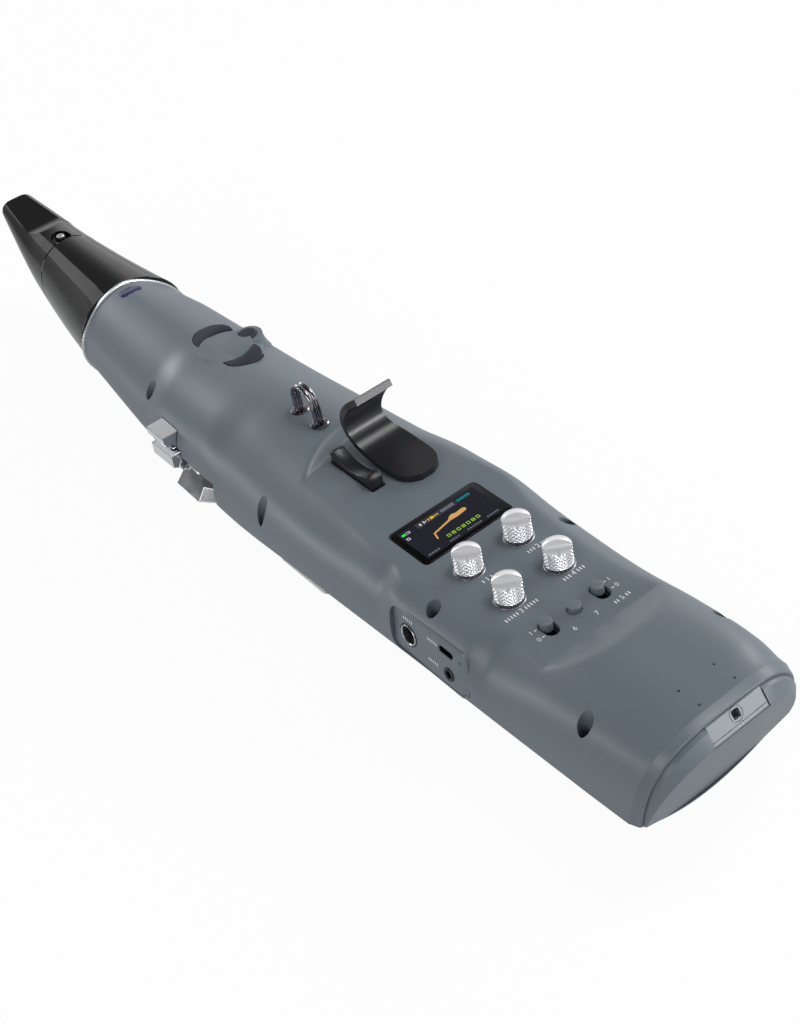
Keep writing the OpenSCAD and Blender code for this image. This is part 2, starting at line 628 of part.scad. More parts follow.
module switch_cap(y) {
    color(shell_grey) lift() {
        rod(switch_x - slide_travel / 2, y, cap_d, -1.4, 3);
        box(switch_x - slide_travel / 2 - 1.4, switch_x - slide_travel / 2 + 1.4, y - 1.4, y + 1.4, -6, -1);
    }
}
module wireless_button() {
    color(shell_grey) lift() {
        rod(switch_x, 0, button_d, -5.4, 3);
        rod(switch_x, 0, 8, -5.4, -4);
    }
}
module switch_bodies() {
    color(satin_black) lift() {
        both() difference() {
            box(switch_x - 7.5, switch_x + 7.5, switch_y - 5, switch_y + 5, -8, -wall);
            box(switch_x - 4.4, switch_x + 4.4, switch_y - 1.8, switch_y + 1.8, -6.6, 0);
        }
        box(switch_x - 4.5, switch_x + 4.5, -4.5, 4.5, main_board_top, -6.8);
    }
}

module jack_plate() {
    color(shell_grey) lift() on_flank() difference() {
        translate([0, 0, -2]) round_plate(jack_w, jack_h, 2, 4);
        translate([phone_spot[0], phone_spot[1], -3]) cylinder(d = 11.4, h = 6, $fn = 48);
        translate([aux_spot[0], aux_spot[1], -3]) cylinder(d = 6.6, h = 6, $fn = 48);
        translate([usb_spot[0], usb_spot[1], -3]) pill(usb_w + 0.8, usb_h + 0.8, 6);
        translate([light_spot[0], light_spot[1], -3]) cylinder(d = 2, h = 6, $fn = 32);
    }
}
module socket(p, bore, collar, body, deep) {
    translate([p[0], p[1], 0]) difference() {
        union() {
            translate([0, 0, -3]) cylinder(d = collar, h = 3.7, $fn = 48);
            translate([0, 0, -deep]) cylinder(d = body, h = deep - 2, $fn = 48);
        }
        translate([0, 0, 1.5 - deep]) cylinder(d = bore, h = deep + 1, $fn = 48);
    }
}
module headphone_socket() { color(satin_black) lift() on_flank() socket(phone_spot, phone_bore, 11.4, 13.4, 22); }
module audio_socket() { color(satin_black) lift() on_flank() socket(aux_spot, aux_bore, 6.6, 9.4, 14); }
module usb_socket() {
    color(chrome) lift() on_flank() translate([usb_spot[0], usb_spot[1], 0]) {
        difference() {
            translate([0, 0, -9]) pill(usb_w + 0.8, usb_h + 0.8, 8.9);
            translate([0, 0, -8]) pill(usb_w, usb_h, 10);
        }
        translate([-3, -0.35, -8.5]) cube([6, 0.7, 7]);
    }
}
module status_light() {
    color([0.2, 0.6, 0.3]) lift() on_flank() translate([light_spot[0], light_spot[1], -6]) cylinder(d = 2, h = 6.1, $fn = 32);
}

// End cap: its face leans back below the crest, and a chamfer runs up to the rim above it
crest_z = -0.3;
face_lean = 0.385;
tongue_w = 28.6;
module end_cap() {
    d = 0.05;
    color(shell_grey) lift() difference() {
        intersection() {
            solid_skin([whole(tail_x - 6, tail_x - 6, wall + 0.15), whole(tail_x, tail_x, wall + d),
                whole(tail_x, tail_x + bevel_l, bevel + rim_land + d),
                whole(tail_x, tail_x + bevel_l + 14, bevel + rim_land + d)]);
            side_profile([[half_l, crest_z], [half_l - 0.649 * 20, crest_z + 20], [tail_x - 52, crest_z + 20],
                [tail_x - 52, crest_z - 60], [half_l - face_lean * 60, crest_z - 60]], -60, 60);
        }
        box(tail_x - 52, half_l + 28, -tongue_w / 2 - 0.1, tongue_w / 2 + 0.1, crest_z, 30);
    }
}
module latch_tongue() {
    color(shell_grey) lift() difference() {
        side_profile([[tail_x - 8, crest_z], [half_l - 0.3, crest_z], [half_l - 4.2, 5.7], [tail_x - 8, 5.7]],
            -tongue_w / 2, tongue_w / 2);
        translate([half_l - 3.4, 0, 3]) rotate([0, 57, 0]) translate([0, 0, -2])
            round_plate(3.8, 3.8, 8, 0.8);
    }
}
module case_screws() {
    color(dark_chrome) lift() both() for (p = well_spots) {
        rod(p[0], p[1], screw_head_d, well_floor(p), well_floor(p) + 1.8);
        rod(p[0], p[1], screw_d, well_floor(p) - 10, well_floor(p) + 1);
    }
}
module main_board() {
    color(board_green) lift() box(97, tail_x - 20, -28, 28, main_board_top - 1.6, main_board_top);
}
module key_boards() {
    color(board_green) lift() {
        box(-118, -50, -16, 16, left_board_z, left_board_z + 1.6);
        box(84, 150, -16, 16, right_board_z, right_board_z + 1.6);
    }
}
module battery_pack() {
    color([0.3, 0.3, 0.32]) lift() box(max(tail_x - 94, right_table[0] + 9), tail_x - 26, -24, 24, -32, main_board_top - 1.6);
}

module long_bar(x0, x1, points) {
    translate([x0, 0, 0]) rotate([90, 0, 90]) linear_extrude(x1 - x0) polygon(points);
}
module palm_key_high() {
    color(chrome) lift() {
        long_bar(-66.5, -49.3, [[-37.2, -14.5], [-50, -14.5], [-50, -18.5], [-46, -23.5], [-37.2, -23.5]]);
        cross_rod(palm_stems[0][0], palm_stems[0][1], side_stem_d, -38, -27);
    }
}
module palm_key_middle() {
    color(chrome) lift() {
        long_bar(-66, -45, [[-37.2, -24], [-50, -24], [3 - key_reach, -31], [-46, -33.5], [-43, -35.9], [-37.2, -35.9]]);
        cross_rod(palm_stems[1][0], palm_stems[1][1], side_stem_d, -38, -27);
    }
}
module palm_key_low() {
    color(chrome) lift() {
        intersection() {
            side_profile([[-41.4, -34.2], [-41.4, -29.8], [-34.2, -31.4], [-18, -27], [-15.2, -33], [-11.7, -40],
                [-14.5, -45.6], [-26, -46.9], [-46.2, -42.9], [-44.5, -36.5]], -60, 0);
            long_bar(-60, 0, [[-37.2, -26], [-44, -26], [-47.5, -32.3], [1.4 - key_reach, -39.7],
                [1.4 - key_reach, -43.4], [-50, -47], [-37.2, -47]]);
        }
        cross_rod(palm_stems[2][0], palm_stems[2][1], side_stem_d, -38, -27);
    }
}
module side_key(p) {
    color(chrome) lift() {
        box(p[0] - 12, p[0] + 12, 37.2, key_reach, -44.5, -36);
        cross_rod(p[0], p[1], side_stem_d, 27, 38);
    }
}
module pearl_key(x, top, end) {
    color(pearl) lift() translate([x, 0, 0]) {
        rotate_extrude($fn = 64) polygon([[0, top], [cup_d / 2, top], [cup_d / 2, top - 2.6],
            [cup_d / 2 - 0.8, top - 3.4], [cup_d / 2 - 2, top - 3.2], [cup_d / 2 - 3, top - 4], [0, top - 4]]);
        rod(0, 0, stem_d, top - 1, end - key_travel - 0.6);
    }
}
module table_key(p, end) {
    color(pearl) lift() translate([p[0], p[1], 0]) {
        translate([0, 0, -60]) round_plate(44, 24, 3.2, 5);
        rod(0, 0, stem_d, -57.5, end - 0.5);
    }
}

rear_shell();
front_shell();
neck_ring();
mouthpiece_base();
mouthpiece_beak();
mouthpiece_screw();
sensor_window();
octave_up_key();
octave_down_key();
octave_button();
thumb_board();
strap_ring();
strap_washers();
thumb_hook();
bend_lever();
lever_pin();
display_glass();
display_module();
knob(1);  // pairing_knob
knob(0);  // volume_knob
knob(3);  // transpose_knob
knob(2);  // select_knob
knob_washers();
encoders();
switch_cap(-switch_y);  // power_switch_cap
switch_cap(switch_y);  // bite_switch_cap
wireless_button();
switch_bodies();
jack_plate();
headphone_socket();
usb_socket();
audio_socket();
status_light();
end_cap();
latch_tongue();
case_screws();
main_board();
key_boards();
battery_pack();
breath_sensor();
breath_tube();
palm_key_high();
palm_key_middle();
palm_key_low();
side_key(side_stems[0]);  // side_key_upper
side_key(side_stems[1]);  // side_key_lower
pearl_key(left_spots[0], left_cup_top, left_board_z);  // pearl_key_b
pearl_key(left_spots[1], left_cup_top, left_board_z);  // pearl_key_a
pearl_key(left_spots[2], left_cup_top, left_board_z);  // pearl_key_g
pearl_key(right_spots[0], right_cup_top, right_board_z);  // pearl_key_f
pearl_key(right_spots[1], right_cup_top, right_board_z);  // pearl_key_e
pearl_key(right_spots[2], right_cup_top, right_board_z);  // pearl_key_d
table_key(left_table, left_table_sleeve);  // left_table_key
table_key(right_table, right_table_sleeve);  // right_table_key
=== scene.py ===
import math

import bmesh
import bpy
from mathutils import Matrix, Vector


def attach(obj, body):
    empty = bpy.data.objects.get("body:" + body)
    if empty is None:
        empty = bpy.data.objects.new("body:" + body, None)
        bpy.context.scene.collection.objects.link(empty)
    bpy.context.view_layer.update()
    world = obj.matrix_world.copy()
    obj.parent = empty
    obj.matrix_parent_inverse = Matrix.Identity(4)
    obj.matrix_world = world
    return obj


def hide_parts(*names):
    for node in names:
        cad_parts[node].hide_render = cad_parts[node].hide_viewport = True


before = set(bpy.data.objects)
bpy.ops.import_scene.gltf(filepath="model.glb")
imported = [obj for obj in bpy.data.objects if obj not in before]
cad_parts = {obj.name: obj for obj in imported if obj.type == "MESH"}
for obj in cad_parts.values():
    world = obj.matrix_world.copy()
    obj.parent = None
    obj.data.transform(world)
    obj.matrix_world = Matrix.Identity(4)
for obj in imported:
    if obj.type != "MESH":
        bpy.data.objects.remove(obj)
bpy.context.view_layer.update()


# Camera
# The photograph looks down at the thumb side from the player's left, with the mouthpiece far away.
# Its lens covers 36 mm of sensor over the frame's height.
scene = bpy.context.scene
photo_azimuth = math.radians(60.687)
photo_elevation = math.radians(39.486)
photo_roll = math.radians(12.977)
photo_distance = 0.671783
looked_at = Vector((0.107782, -0.010708, 0.060))
towards_camera = Vector((
    math.sin(photo_azimuth) * math.cos(photo_elevation),
    -math.cos(photo_azimuth) * math.cos(photo_elevation),
    math.sin(photo_elevation),
))
level_right = (-towards_camera).cross(Vector((0, 0, 1))).normalized()
level_down = (-towards_camera).cross(level_right)
image_right = math.cos(photo_roll) * level_right + math.sin(photo_roll) * level_down
image_down = -math.sin(photo_roll) * level_right + math.cos(photo_roll) * level_down
camera_data = bpy.data.cameras.new("photo_camera")
camera_data.sensor_fit = "VERTICAL"
camera_data.sensor_height = 36
camera_data.sensor_width = 36
camera_data.lens = 52.735
camera_data.clip_start = 0.01
camera_data.clip_end = 50
camera = bpy.data.objects.new("photo_camera", camera_data)
scene.collection.objects.link(camera)
axes = Matrix((image_right, -image_down, towards_camera)).transposed().to_4x4()
camera.matrix_world = Matrix.Translation(looked_at + towards_camera * photo_distance) @ axes
scene.camera = camera


# Studio
# A pale floor, a large soft lamp from the tail side and a weaker one from the player's left.
def linear(code, alpha=1.0):
    values = [int(code[i:i + 2], 16) / 255 for i in (1, 3, 5)]
    return tuple(v / 12.92 if v <= 0.04045 else ((v + 0.055) / 1.055) ** 2.4 for v in values) + (alpha,)


def add(tree, kind, settings=None, links=None):
    made = tree.nodes.new(kind)
    for key, value in (settings or {}).items():
        if isinstance(key, str) and hasattr(made, key):
            setattr(made, key, value)
        else:
            made.inputs[key].default_value = value
    for key, source in (links or {}).items():
        tree.links.new(source, made.inputs[key])
    return made


scene.view_settings.view_transform = "Standard"
world = bpy.data.worlds.new("white_sweep")
scene.world = world
world.use_nodes = True
sky = world.node_tree
sky.nodes.clear()
ray = add(sky, "ShaderNodeLightPath")
around = add(sky, "ShaderNodeTexCoord")
way_up = add(sky, "ShaderNodeSeparateXYZ", {}, {"Vector": around.outputs["Generated"]})
seen = add(sky, "ShaderNodeMath", {"operation": "MAXIMUM"}, {0: ray.outputs["Is Camera Ray"], 1: ray.outputs["Is Transmission Ray"]})
mirror_level = add(sky, "ShaderNodeMapRange", {"From Min": 0.42, "From Max": 0.63, "To Min": 1.0, "To Max": 0.2},
                   {"Value": way_up.outputs["Z"]})
left_dark = add(sky, "ShaderNodeMapRange", {"From Min": -0.62, "From Max": -0.25, "To Min": 0.1}, {"Value": way_up.outputs["Y"]})
mirrored_sky = add(sky, "ShaderNodeMath", {"operation": "MULTIPLY"}, {0: mirror_level.outputs["Result"], 1: left_dark.outputs["Result"]})
lifted = add(sky, "ShaderNodeMapRange", {"To Min": 0.27}, {"Value": ray.outputs["Is Glossy Ray"], "To Max": mirrored_sky.outputs[0]})
level = add(sky, "ShaderNodeMapRange", {"To Max": 1.0}, {"Value": seen.outputs[0], "To Min": lifted.outputs["Result"]})
glow = add(sky, "ShaderNodeBackground", {"Color": (1, 1, 1, 1)}, {"Strength": level.outputs["Result"]})
add(sky, "ShaderNodeOutputWorld", {}, {"Surface": glow.outputs[0]})


def soft_lamp(name, direction, distance, size, power):
    data = bpy.data.lights.new(name, "AREA")
    data.shape = "RECTANGLE"
    data.size, data.size_y = size
    data.energy = power
    lamp = bpy.data.objects.new(name, data)
    scene.collection.objects.link(lamp)
    way = Vector(direction).normalized()
    lamp.location = Vector((0.05, 0, 0.05)) + way * distance
    lamp.rotation_mode = "QUATERNION"
    lamp.rotation_quaternion = way.to_track_quat("Z", "Y")


soft_lamp("key_lamp", (0.22, 0.36, 0.90), 1.8, (0.7, 0.5), 9.5)
soft_lamp("left_lamp", (-0.62, -0.78, 0.045), 1.8, (1.0, 0.1), 4.0)
soft_lamp("right_lamp", (0.05, 1.0, 0.42), 1.8, (1.4, 0.4), 9.0)
soft_lamp("head_lamp", (-1.0, -0.10, 0.36), 1.8, (0.6, 0.4), 4.0)
soft_lamp("fill_lamp", (0.32, -0.90, 0.35), 1.8, (1.2, 0.8), 9.0)
soft_lamp("tail_lamp", (0.87, 0.46, 0.14), 1.8, (0.6, 0.3), 11.0)
soft_lamp("band_lamp", (-0.80, -0.23, 0.55), 1.8, (0.5, 0.3), 0.5)

floor_mesh = bpy.data.meshes.new("floor")
floor_mesh.from_pydata([(-6, -6, 0), (6, -6, 0), (6, 6, 0), (-6, 6, 0)], [], [(0, 1, 2, 3)])
floor = bpy.data.objects.new("floor", floor_mesh)
scene.collection.objects.link(floor)
floor_paint = bpy.data.materials.new("floor_paper")
floor_paint.use_nodes = True
tree = floor_paint.node_tree
tree.nodes.clear()
path = add(tree, "ShaderNodeLightPath")
paper_tone = add(tree, "ShaderNodeMix", {"data_type": "RGBA"}, {"Factor": path.outputs["Is Camera Ray"]})
paper_tone.inputs[6].default_value = linear("#a8abae")
paper_tone.inputs[7].default_value = linear("#f4f5f6")
paper = add(tree, "ShaderNodeBsdfDiffuse", {}, {"Color": paper_tone.outputs[2]})
lit = add(tree, "ShaderNodeEmission", {"Color": (1, 1, 1, 1), "Strength": 1.0})
mirrored = add(tree, "ShaderNodeMath", {"operation": "MAXIMUM"}, {0: path.outputs["Is Glossy Ray"], 1: path.outputs["Is Transmission Ray"]})
soft_mirror = add(tree, "ShaderNodeMath", {"operation": "MULTIPLY", 1: 0.45}, {0: mirrored.outputs[0]})
looked = add(tree, "ShaderNodeMath", {"operation": "MAXIMUM"}, {0: path.outputs["Is Camera Ray"], 1: soft_mirror.outputs[0]})
white_share = add(tree, "ShaderNodeMath", {"operation": "MULTIPLY", 1: 0.95}, {0: looked.outputs[0]})
only_seen = add(tree, "ShaderNodeMixShader", {}, {0: white_share.outputs[0], 1: paper.outputs[0], 2: lit.outputs[0]})
add(tree, "ShaderNodeOutputMaterial", {}, {"Surface": only_seen.outputs[0]})
floor_mesh.materials.append(floor_paint)


# Case shells
# Two injection-moulded ABS shells in satin slate paint, 2.4 mm thick, that meet along the flanks.
# The rear shell carries the control panel and the screw wells, the front shell carries the keys.
BODY = "instrument_body"
MM = 0.001
LIFT = 60.0
HALF_LENGTH = 301.5
RING_X = -167.0
TAIL_X = 292.0
WALL = 2.4
PARTING = 0.15
LEAN_X = 262.0
LEAN = 0.225
TAIL_TOP = 8.6
WIDTHS = [(RING_X, 34.5), (-60, 44.5), (75, 49.15), (180, 46.8), (TAIL_X, 42.7)]
EDGES = [(RING_X, -21.5), (-60, -34.4), (0, -39.2), (75, -33), (140, -31.5), (TAIL_X, -35)]
CROWNS = [(RING_X, 8.0), (-100, 6.2), (-60, 5.3), (0, 6.7), (37, 5.3), (65, 4.9), (95, 5.6), (125, 8.4),
          (147, 5.0), (175, 4.0), (208, 4.2), (240, 8.0), (TAIL_X, 10.0)]
BELLIES = [(RING_X, 26.5), (-110, 22.5), (-60, 15.7), (0, 13.5), (75, 12.5), (180, 14.5), (TAIL_X, 18)]
SQUARES = [(RING_X, 1.78), (-60, 1.86), (30, 2.18), (60, 2.28), (120, 2.34), (200, 2.3), (TAIL_X, 3.3)]
ROUNDS = [(RING_X, 2), (-60, 1.6), (0, 1.2), (75, 1), (TAIL_X, 1)]


def curve_at(knots, x):
    last = len(knots) - 1
    i = 0
    while i < last - 1 and x >= knots[i + 1][0]:
        i += 1

    def slope(k):
        low, high = max(k - 1, 0), min(k + 1, last)
        return (knots[high][1] - knots[low][1]) / (knots[high][0] - knots[low][0])

    span = knots[i + 1][0] - knots[i][0]
    t = min(max((x - knots[i][0]) / span, 0), 1)
    return (knots[i][1] * (2 * t ** 3 - 3 * t ** 2 + 1) + slope(i) * span * (t ** 3 - 2 * t ** 2 + t)
            + knots[i + 1][1] * (3 * t ** 2 - 2 * t ** 3) + slope(i + 1) * span * (t ** 3 - t ** 2))


def ease(t):
    t = min(max(t, 0), 1)
    return t * t * (3 - 2 * t)


def power(value, exponent):
    return math.copysign(abs(value) ** exponent, value)


def square_at(x, y):
    if y < 0:
        palm = 0.35 * ease((x + 90) / 20) * ease((-2 - x) / 25)
        return curve_at(SQUARES, x) + ease((x - 130) / 16) * ease((203 - x) / 14) + palm
    hip = 0.55 * ease((x - 52) / 40) * ease((290 - x) / 30)
    return curve_at(SQUARES, x) + hip - 0.2 * ease((-130 - x) / 30) - 0.5 * ease((x - 276) / 16)


def over_z(x, y, inset=0.0):
    n = square_at(x, y)
    edge = curve_at(EDGES, x)
    across = min(abs(y) / (curve_at(WIDTHS, x) - inset), 1)
    dome = edge + (curve_at(CROWNS, x) - edge - inset) * (1 - across ** n) ** (1 / n)
    cut = max(0, (47 - x - 0.27 * y) * 0.81, (x - 226) * 0.5) - inset
    near = max(1.6 - abs(dome - cut), 0) / 1.6
    return min(dome, cut) - near * near * 0.4


def below_z(x, y, inset=0.0):
    across = min(abs(y) / (curve_at(WIDTHS, x) - inset), 1)
    depth = curve_at(BELLIES, x) - inset
    return curve_at(EDGES, x) - PARTING - depth * (1 - across ** 2) ** (1 / curve_at(ROUNDS, x))


def leaned(x, z):
    return x - LEAN * (TAIL_TOP - z) * min(max((x - LEAN_X) / (TAIL_X - LEAN_X), 0), 1)


def place(x, y, z):
    return Vector((x * MM, y * MM, (z + LIFT) * MM))


def skewed(x, y):
    return x - 0.27 * y * ease((x + 25) / 35) * ease((100 - x) / 35)


def over_row(x, at_x, inset, steps):
    row = []
    for i in range(steps + 1):
        c = -math.cos(math.pi * i / steps)
        along = skewed(x, curve_at(WIDTHS, x) * power(c, 2 / square_at(x, c)))
        y = (curve_at(WIDTHS, along) - inset) * power(c, 2 / square_at(along, c))
        z = over_z(along, y, inset)
        row.append(place(leaned(along + at_x - x, z), y, z))
    return row


def below_row(x, at_x, inset, steps):
    half = curve_at(WIDTHS, x) - inset
    row = []
    for i in range(steps + 1):
        y = -half * math.cos(math.pi * i / steps)
        z = below_z(x, y, inset)
        row.append(place(leaned(at_x, z), y, z))
    return row


def mesh_object(name, rows, closed=True, caps=True, looped=False):
    bm = bmesh.new()
    rings = [[bm.verts.new(p) for p in row] for row in rows]
    m = len(rings[0])
    for a, b in zip(rings, rings[1:] + (rings[:1] if looped else [])):
        for i in range(m if closed else m - 1):
            k = (i + 1) % m
            bm.faces.new((a[i], a[k], b[k], b[i]))
    if caps and not looped:
        bm.faces.new(list(reversed(rings[0])))
        bm.faces.new(rings[-1])
    bmesh.ops.recalc_face_normals(bm, faces=bm.faces)
    mesh = bpy.data.meshes.new(name)
    bm.to_mesh(mesh)
    bm.free()
    obj = bpy.data.objects.new(name, mesh)
    scene.collection.objects.link(obj)
    return obj


def wall_object(name, row_of, steps):
    bm = bmesh.new()
    places = [(x, x, 0.0, WALL) for x in STATIONS]
    places.append((TAIL_X, TAIL_X + 0.7, 0.35, WALL))
    places.append((TAIL_X, TAIL_X + 3.9, 1.5, 2.9))
    places.append((TAIL_X, TAIL_X + 4.5, 2.0, 3.0))
    outer = [[bm.verts.new(p) for p in row_of(x, at, d, steps)] for x, at, d, e in places]
    inner = [[bm.verts.new(p) for p in row_of(x, at, e, steps)] for x, at, d, e in places]
    for a, b in zip(outer, outer[1:]):
        for i in range(steps):
            bm.faces.new((a[i], a[i + 1], b[i + 1], b[i]))
    for a, b in zip(inner, inner[1:]):
        for i in range(steps):
            bm.faces.new((a[i + 1], a[i], b[i], b[i + 1]))
    for j in range(len(outer) - 1):
        for i in (0, steps):
            bm.faces.new((outer[j][i], outer[j + 1][i], inner[j + 1][i], inner[j][i]))
    for j in (0, len(outer) - 1):
        for i in range(steps):
            bm.faces.new((outer[j][i], outer[j][i + 1], inner[j][i + 1], inner[j][i]))
    bmesh.ops.recalc_face_normals(bm, faces=bm.faces)
    mesh = bpy.data.meshes.new(name)
    bm.to_mesh(mesh)
    bm.free()
    obj = bpy.data.objects.new(name, mesh)
    scene.collection.objects.link(obj)
    return obj


def evaluated(obj):
    graph = bpy.context.evaluated_depsgraph_get()
    mesh = bpy.data.meshes.new_from_object(obj.evaluated_get(graph))
    obj.modifiers.clear()
    old = obj.data
    obj.data = mesh
    bpy.data.meshes.remove(old)
    return obj


def carve(obj, tool, operation="DIFFERENCE", solver="MANIFOLD"):
    cut = obj.modifiers.new("carve", "BOOLEAN")
    cut.operation = operation
    cut.object = tool
    cut.solver = solver
    evaluated(obj)
    bpy.data.objects.remove(tool)
    return obj


def rod_verts(bm, x, y, d, z0, z1, sides=56):
    made = bmesh.ops.create_cone(bm, cap_ends=True, segments=sides, radius1=d / 2 * MM, radius2=d / 2 * MM,
                                 depth=(z1 - z0) * MM)
    bmesh.ops.translate(bm, verts=made["verts"], vec=place(x, y, (z0 + z1) / 2))
    return made["verts"]


def box_verts(bm, x0, x1, y0, y1, z0, z1):
    made = bmesh.ops.create_cube(bm, size=1)
    for v in made["verts"]:
        v.co = place(x0 + (x1 - x0) * (v.co.x + 0.5), y0 + (y1 - y0) * (v.co.y + 0.5),
                     z0 + (z1 - z0) * (v.co.z + 0.5))
    return made["verts"]


def prism_verts(bm, outline, z0, z1):
    low = [bm.verts.new(place(x, y, z0)) for x, y in outline]
    high = [bm.verts.new(place(x, y, z1)) for x, y in outline]
    count = len(outline)
    faces = [bm.faces.new(list(reversed(low))), bm.faces.new(high)]
    for i in range(count):
        k = (i + 1) % count
        faces.append(bm.faces.new((low[i], low[k], high[k], high[i])))
    bmesh.ops.recalc_face_normals(bm, faces=faces)
    return low + high


def made_of(name, build, *args):
    bm = bmesh.new()
    build(bm, *args)
    mesh = bpy.data.meshes.new(name)
    bm.to_mesh(mesh)
    bm.free()
    obj = bpy.data.objects.new(name, mesh)
    scene.collection.objects.link(obj)
    return obj


def arc(cx, cy, r, a0, a1, count):
    return [(cx + r * math.cos(math.radians(a0 + (a1 - a0) * i / count)),
             cy + r * math.sin(math.radians(a0 + (a1 - a0) * i / count))) for i in range(count + 1)]


def pill_outline(cx, cy, long_x, wide_y, steps=20):
    r = min(long_x, wide_y) / 2
    if long_x >= wide_y:
        k = long_x / 2 - r
        return arc(cx + k, cy, r, -90, 90, steps) + arc(cx - k, cy, r, 90, 270, steps)
    k = wide_y / 2 - r
    return arc(cx, cy + k, r, 0, 180, steps) + arc(cx, cy - k, r, 180, 360, steps)


def plate_outline(cx, cy, a, b, r, steps=8):
    points = []
    for sx, sy, start in ((1, 1, 0), (-1, 1, 90), (-1, -1, 180), (1, -1, 270)):
        points += arc(cx + sx * (a / 2 - r), cy + sy * (b / 2 - r), r, start, start + 90, steps)
    return points


def crescent_outline(cx, cy, r, hole_r, steps=48):
    away = math.hypot(cx - REST_X, cy - REST_Y)
    turn = math.degrees(math.atan2(cy - REST_Y, cx - REST_X))
    half_big = math.degrees(math.acos(max(-1, min(1, (r * r + away * away - hole_r ** 2) / (2 * r * away)))))
    half_hole = math.degrees(math.acos(max(-1, min(1, (hole_r ** 2 + away * away - r * r) / (2 * hole_r * away)))))
    outer = arc(cx, cy, r, turn + 180 + half_big, turn + 540 - half_big, steps)
    inner = arc(REST_X, REST_Y, hole_r, turn + half_hole, turn - half_hole, steps // 2)
    return outer + inner[1:-1]


def shade(obj, angle=32):
    bm = bmesh.new()
    bm.from_mesh(obj.data)
    for f in bm.faces:
        f.smooth = True
    for e in bm.edges:
        e.smooth = len(e.link_faces) != 2 or e.calc_face_angle(0) < math.radians(angle)
    bm.to_mesh(obj.data)
    bm.free()
    return obj


def finish_piece(obj, material, body=BODY, nodes=(), angle=32):
    shade(obj, angle)
    obj.data.materials.clear()
    obj.data.materials.append(material)
    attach(obj, body)
    if nodes:
        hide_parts(*nodes)
    return obj


def principled(name, **settings):
    material = bpy.data.materials.new(name)
    material.use_nodes = True
    tree = material.node_tree
    shader = tree.nodes["Principled BSDF"]
    for key, value in settings.items():
        shader.inputs[key.replace("_", " ")].default_value = value
    return material, tree, shader


# Satin-painted ABS: a fine even orange peel breaks up the highlights and the tint drifts a little.
case_abs, tree, shader = principled("satin_painted_abs", Roughness=0.36, IOR=1.5)
where = add(tree, "ShaderNodeTexCoord")
drift = add(tree, "ShaderNodeTexNoise", {"Scale": 14.0, "Detail": 2.0}, {"Vector": where.outputs["Object"]})
tint = add(tree, "ShaderNodeMix", {"data_type": "RGBA"}, {"Factor": drift.outputs["Fac"]})
tint.inputs[6].default_value = linear("#69737b")
tint.inputs[7].default_value = linear("#6e7881")
tree.links.new(tint.outputs[2], shader.inputs["Base Color"])
peel = add(tree, "ShaderNodeTexNoise", {"Scale": 1400.0, "Detail": 3.0}, {"Vector": where.outputs["Object"]})
ripple = add(tree, "ShaderNodeBump", {"Strength": 0.10, "Distance": 0.00015}, {"Height": peel.outputs["Fac"]})
tree.links.new(ripple.outputs[0], shader.inputs["Normal"])

STATIONS = [RING_X + 3.2 * i for i in range(57)]
STATIONS += [14 + 0.9 * i for i in range(46)]
STATIONS += [56 + 2.6 * i for i in range(63)]
STATIONS += [219 + 1.2 * i for i in range(24)]
STATIONS += [249 + 3.0 * i for i in range(15)]
STATIONS = [x for x in STATIONS if x < TAIL_X - 0.5] + [TAIL_X]

WELLS = [(-87, 33), (36, 43.8), (165.1, 37.5), (256.5, 36.6)]
REST_X, REST_Y, REST_R = -66.5, 6.5, 14.6
UP_KEY = (-80.5, 7.5, 11.0)
DOWN_KEY = (-52.0, 8.0, 10.5)
LOBE = (-69.0, 22.1)
BUTTON_R = 4.9
STRAP_X, STRAP_HALF = 22.75, 8.5
LEVER_X, LEVER_Y = 70.0, -6.8
GLASS_X = 130.9
KNOBS = {"volume_knob": (160.8, 13.9), "pairing_knob": (160.8, -13.9),
         "select_knob": (186.9, 13.9), "transpose_knob": (186.9, -13.9)}
SWITCH_X, SWITCH_Y = 211.3, 14.1
WINDOW_X = -158.1
PINHOLES = [(x, y) for x in (278.7, 289.05) for y in (-9.2, 9.2)]


def well_floor(x):
    return curve_at(EDGES, x) + 7


def flank_matrix(u=0.0, v=0.0, w=0.0):
    tilt = math.radians(82)
    along, up = Vector((1, 0, 0)), Vector((0, math.cos(tilt), math.sin(tilt)))
    out = Vector((0, -math.sin(tilt), math.cos(tilt)))
    origin = place(167.5, -45.6, -20) + (u * along + v * up + w * out) * MM
    return Matrix.Translation(origin) @ Matrix((along, up, out)).transposed().to_4x4()


def on_flank(bm, verts, u=0.0, v=0.0, w=0.0):
    home = Matrix.Translation(-place(0, 0, 0))
    bmesh.ops.transform(bm, matrix=flank_matrix(u, v, w) @ home, verts=verts)


def flare(name, x, y, r, top, foot, out, round_top=0.35, steps=120):
    side = [(r + out * (1 - t) ** 2, foot + (top - round_top - foot) * t) for t in [i / 16 for i in range(17)]]
    rim = [(r - round_top * (1 - math.cos(a)), top - round_top * (1 - math.sin(a))) for a in [math.pi / 8 * k for k in range(1, 5)]]
    rows = [[place(x + q * math.cos(2 * math.pi * i / steps), y + q * math.sin(2 * math.pi * i / steps), h) for i in range(steps)]
            for q, h in [(0.4 * r, foot)] + side + rim]
    return mesh_object(name, rows)


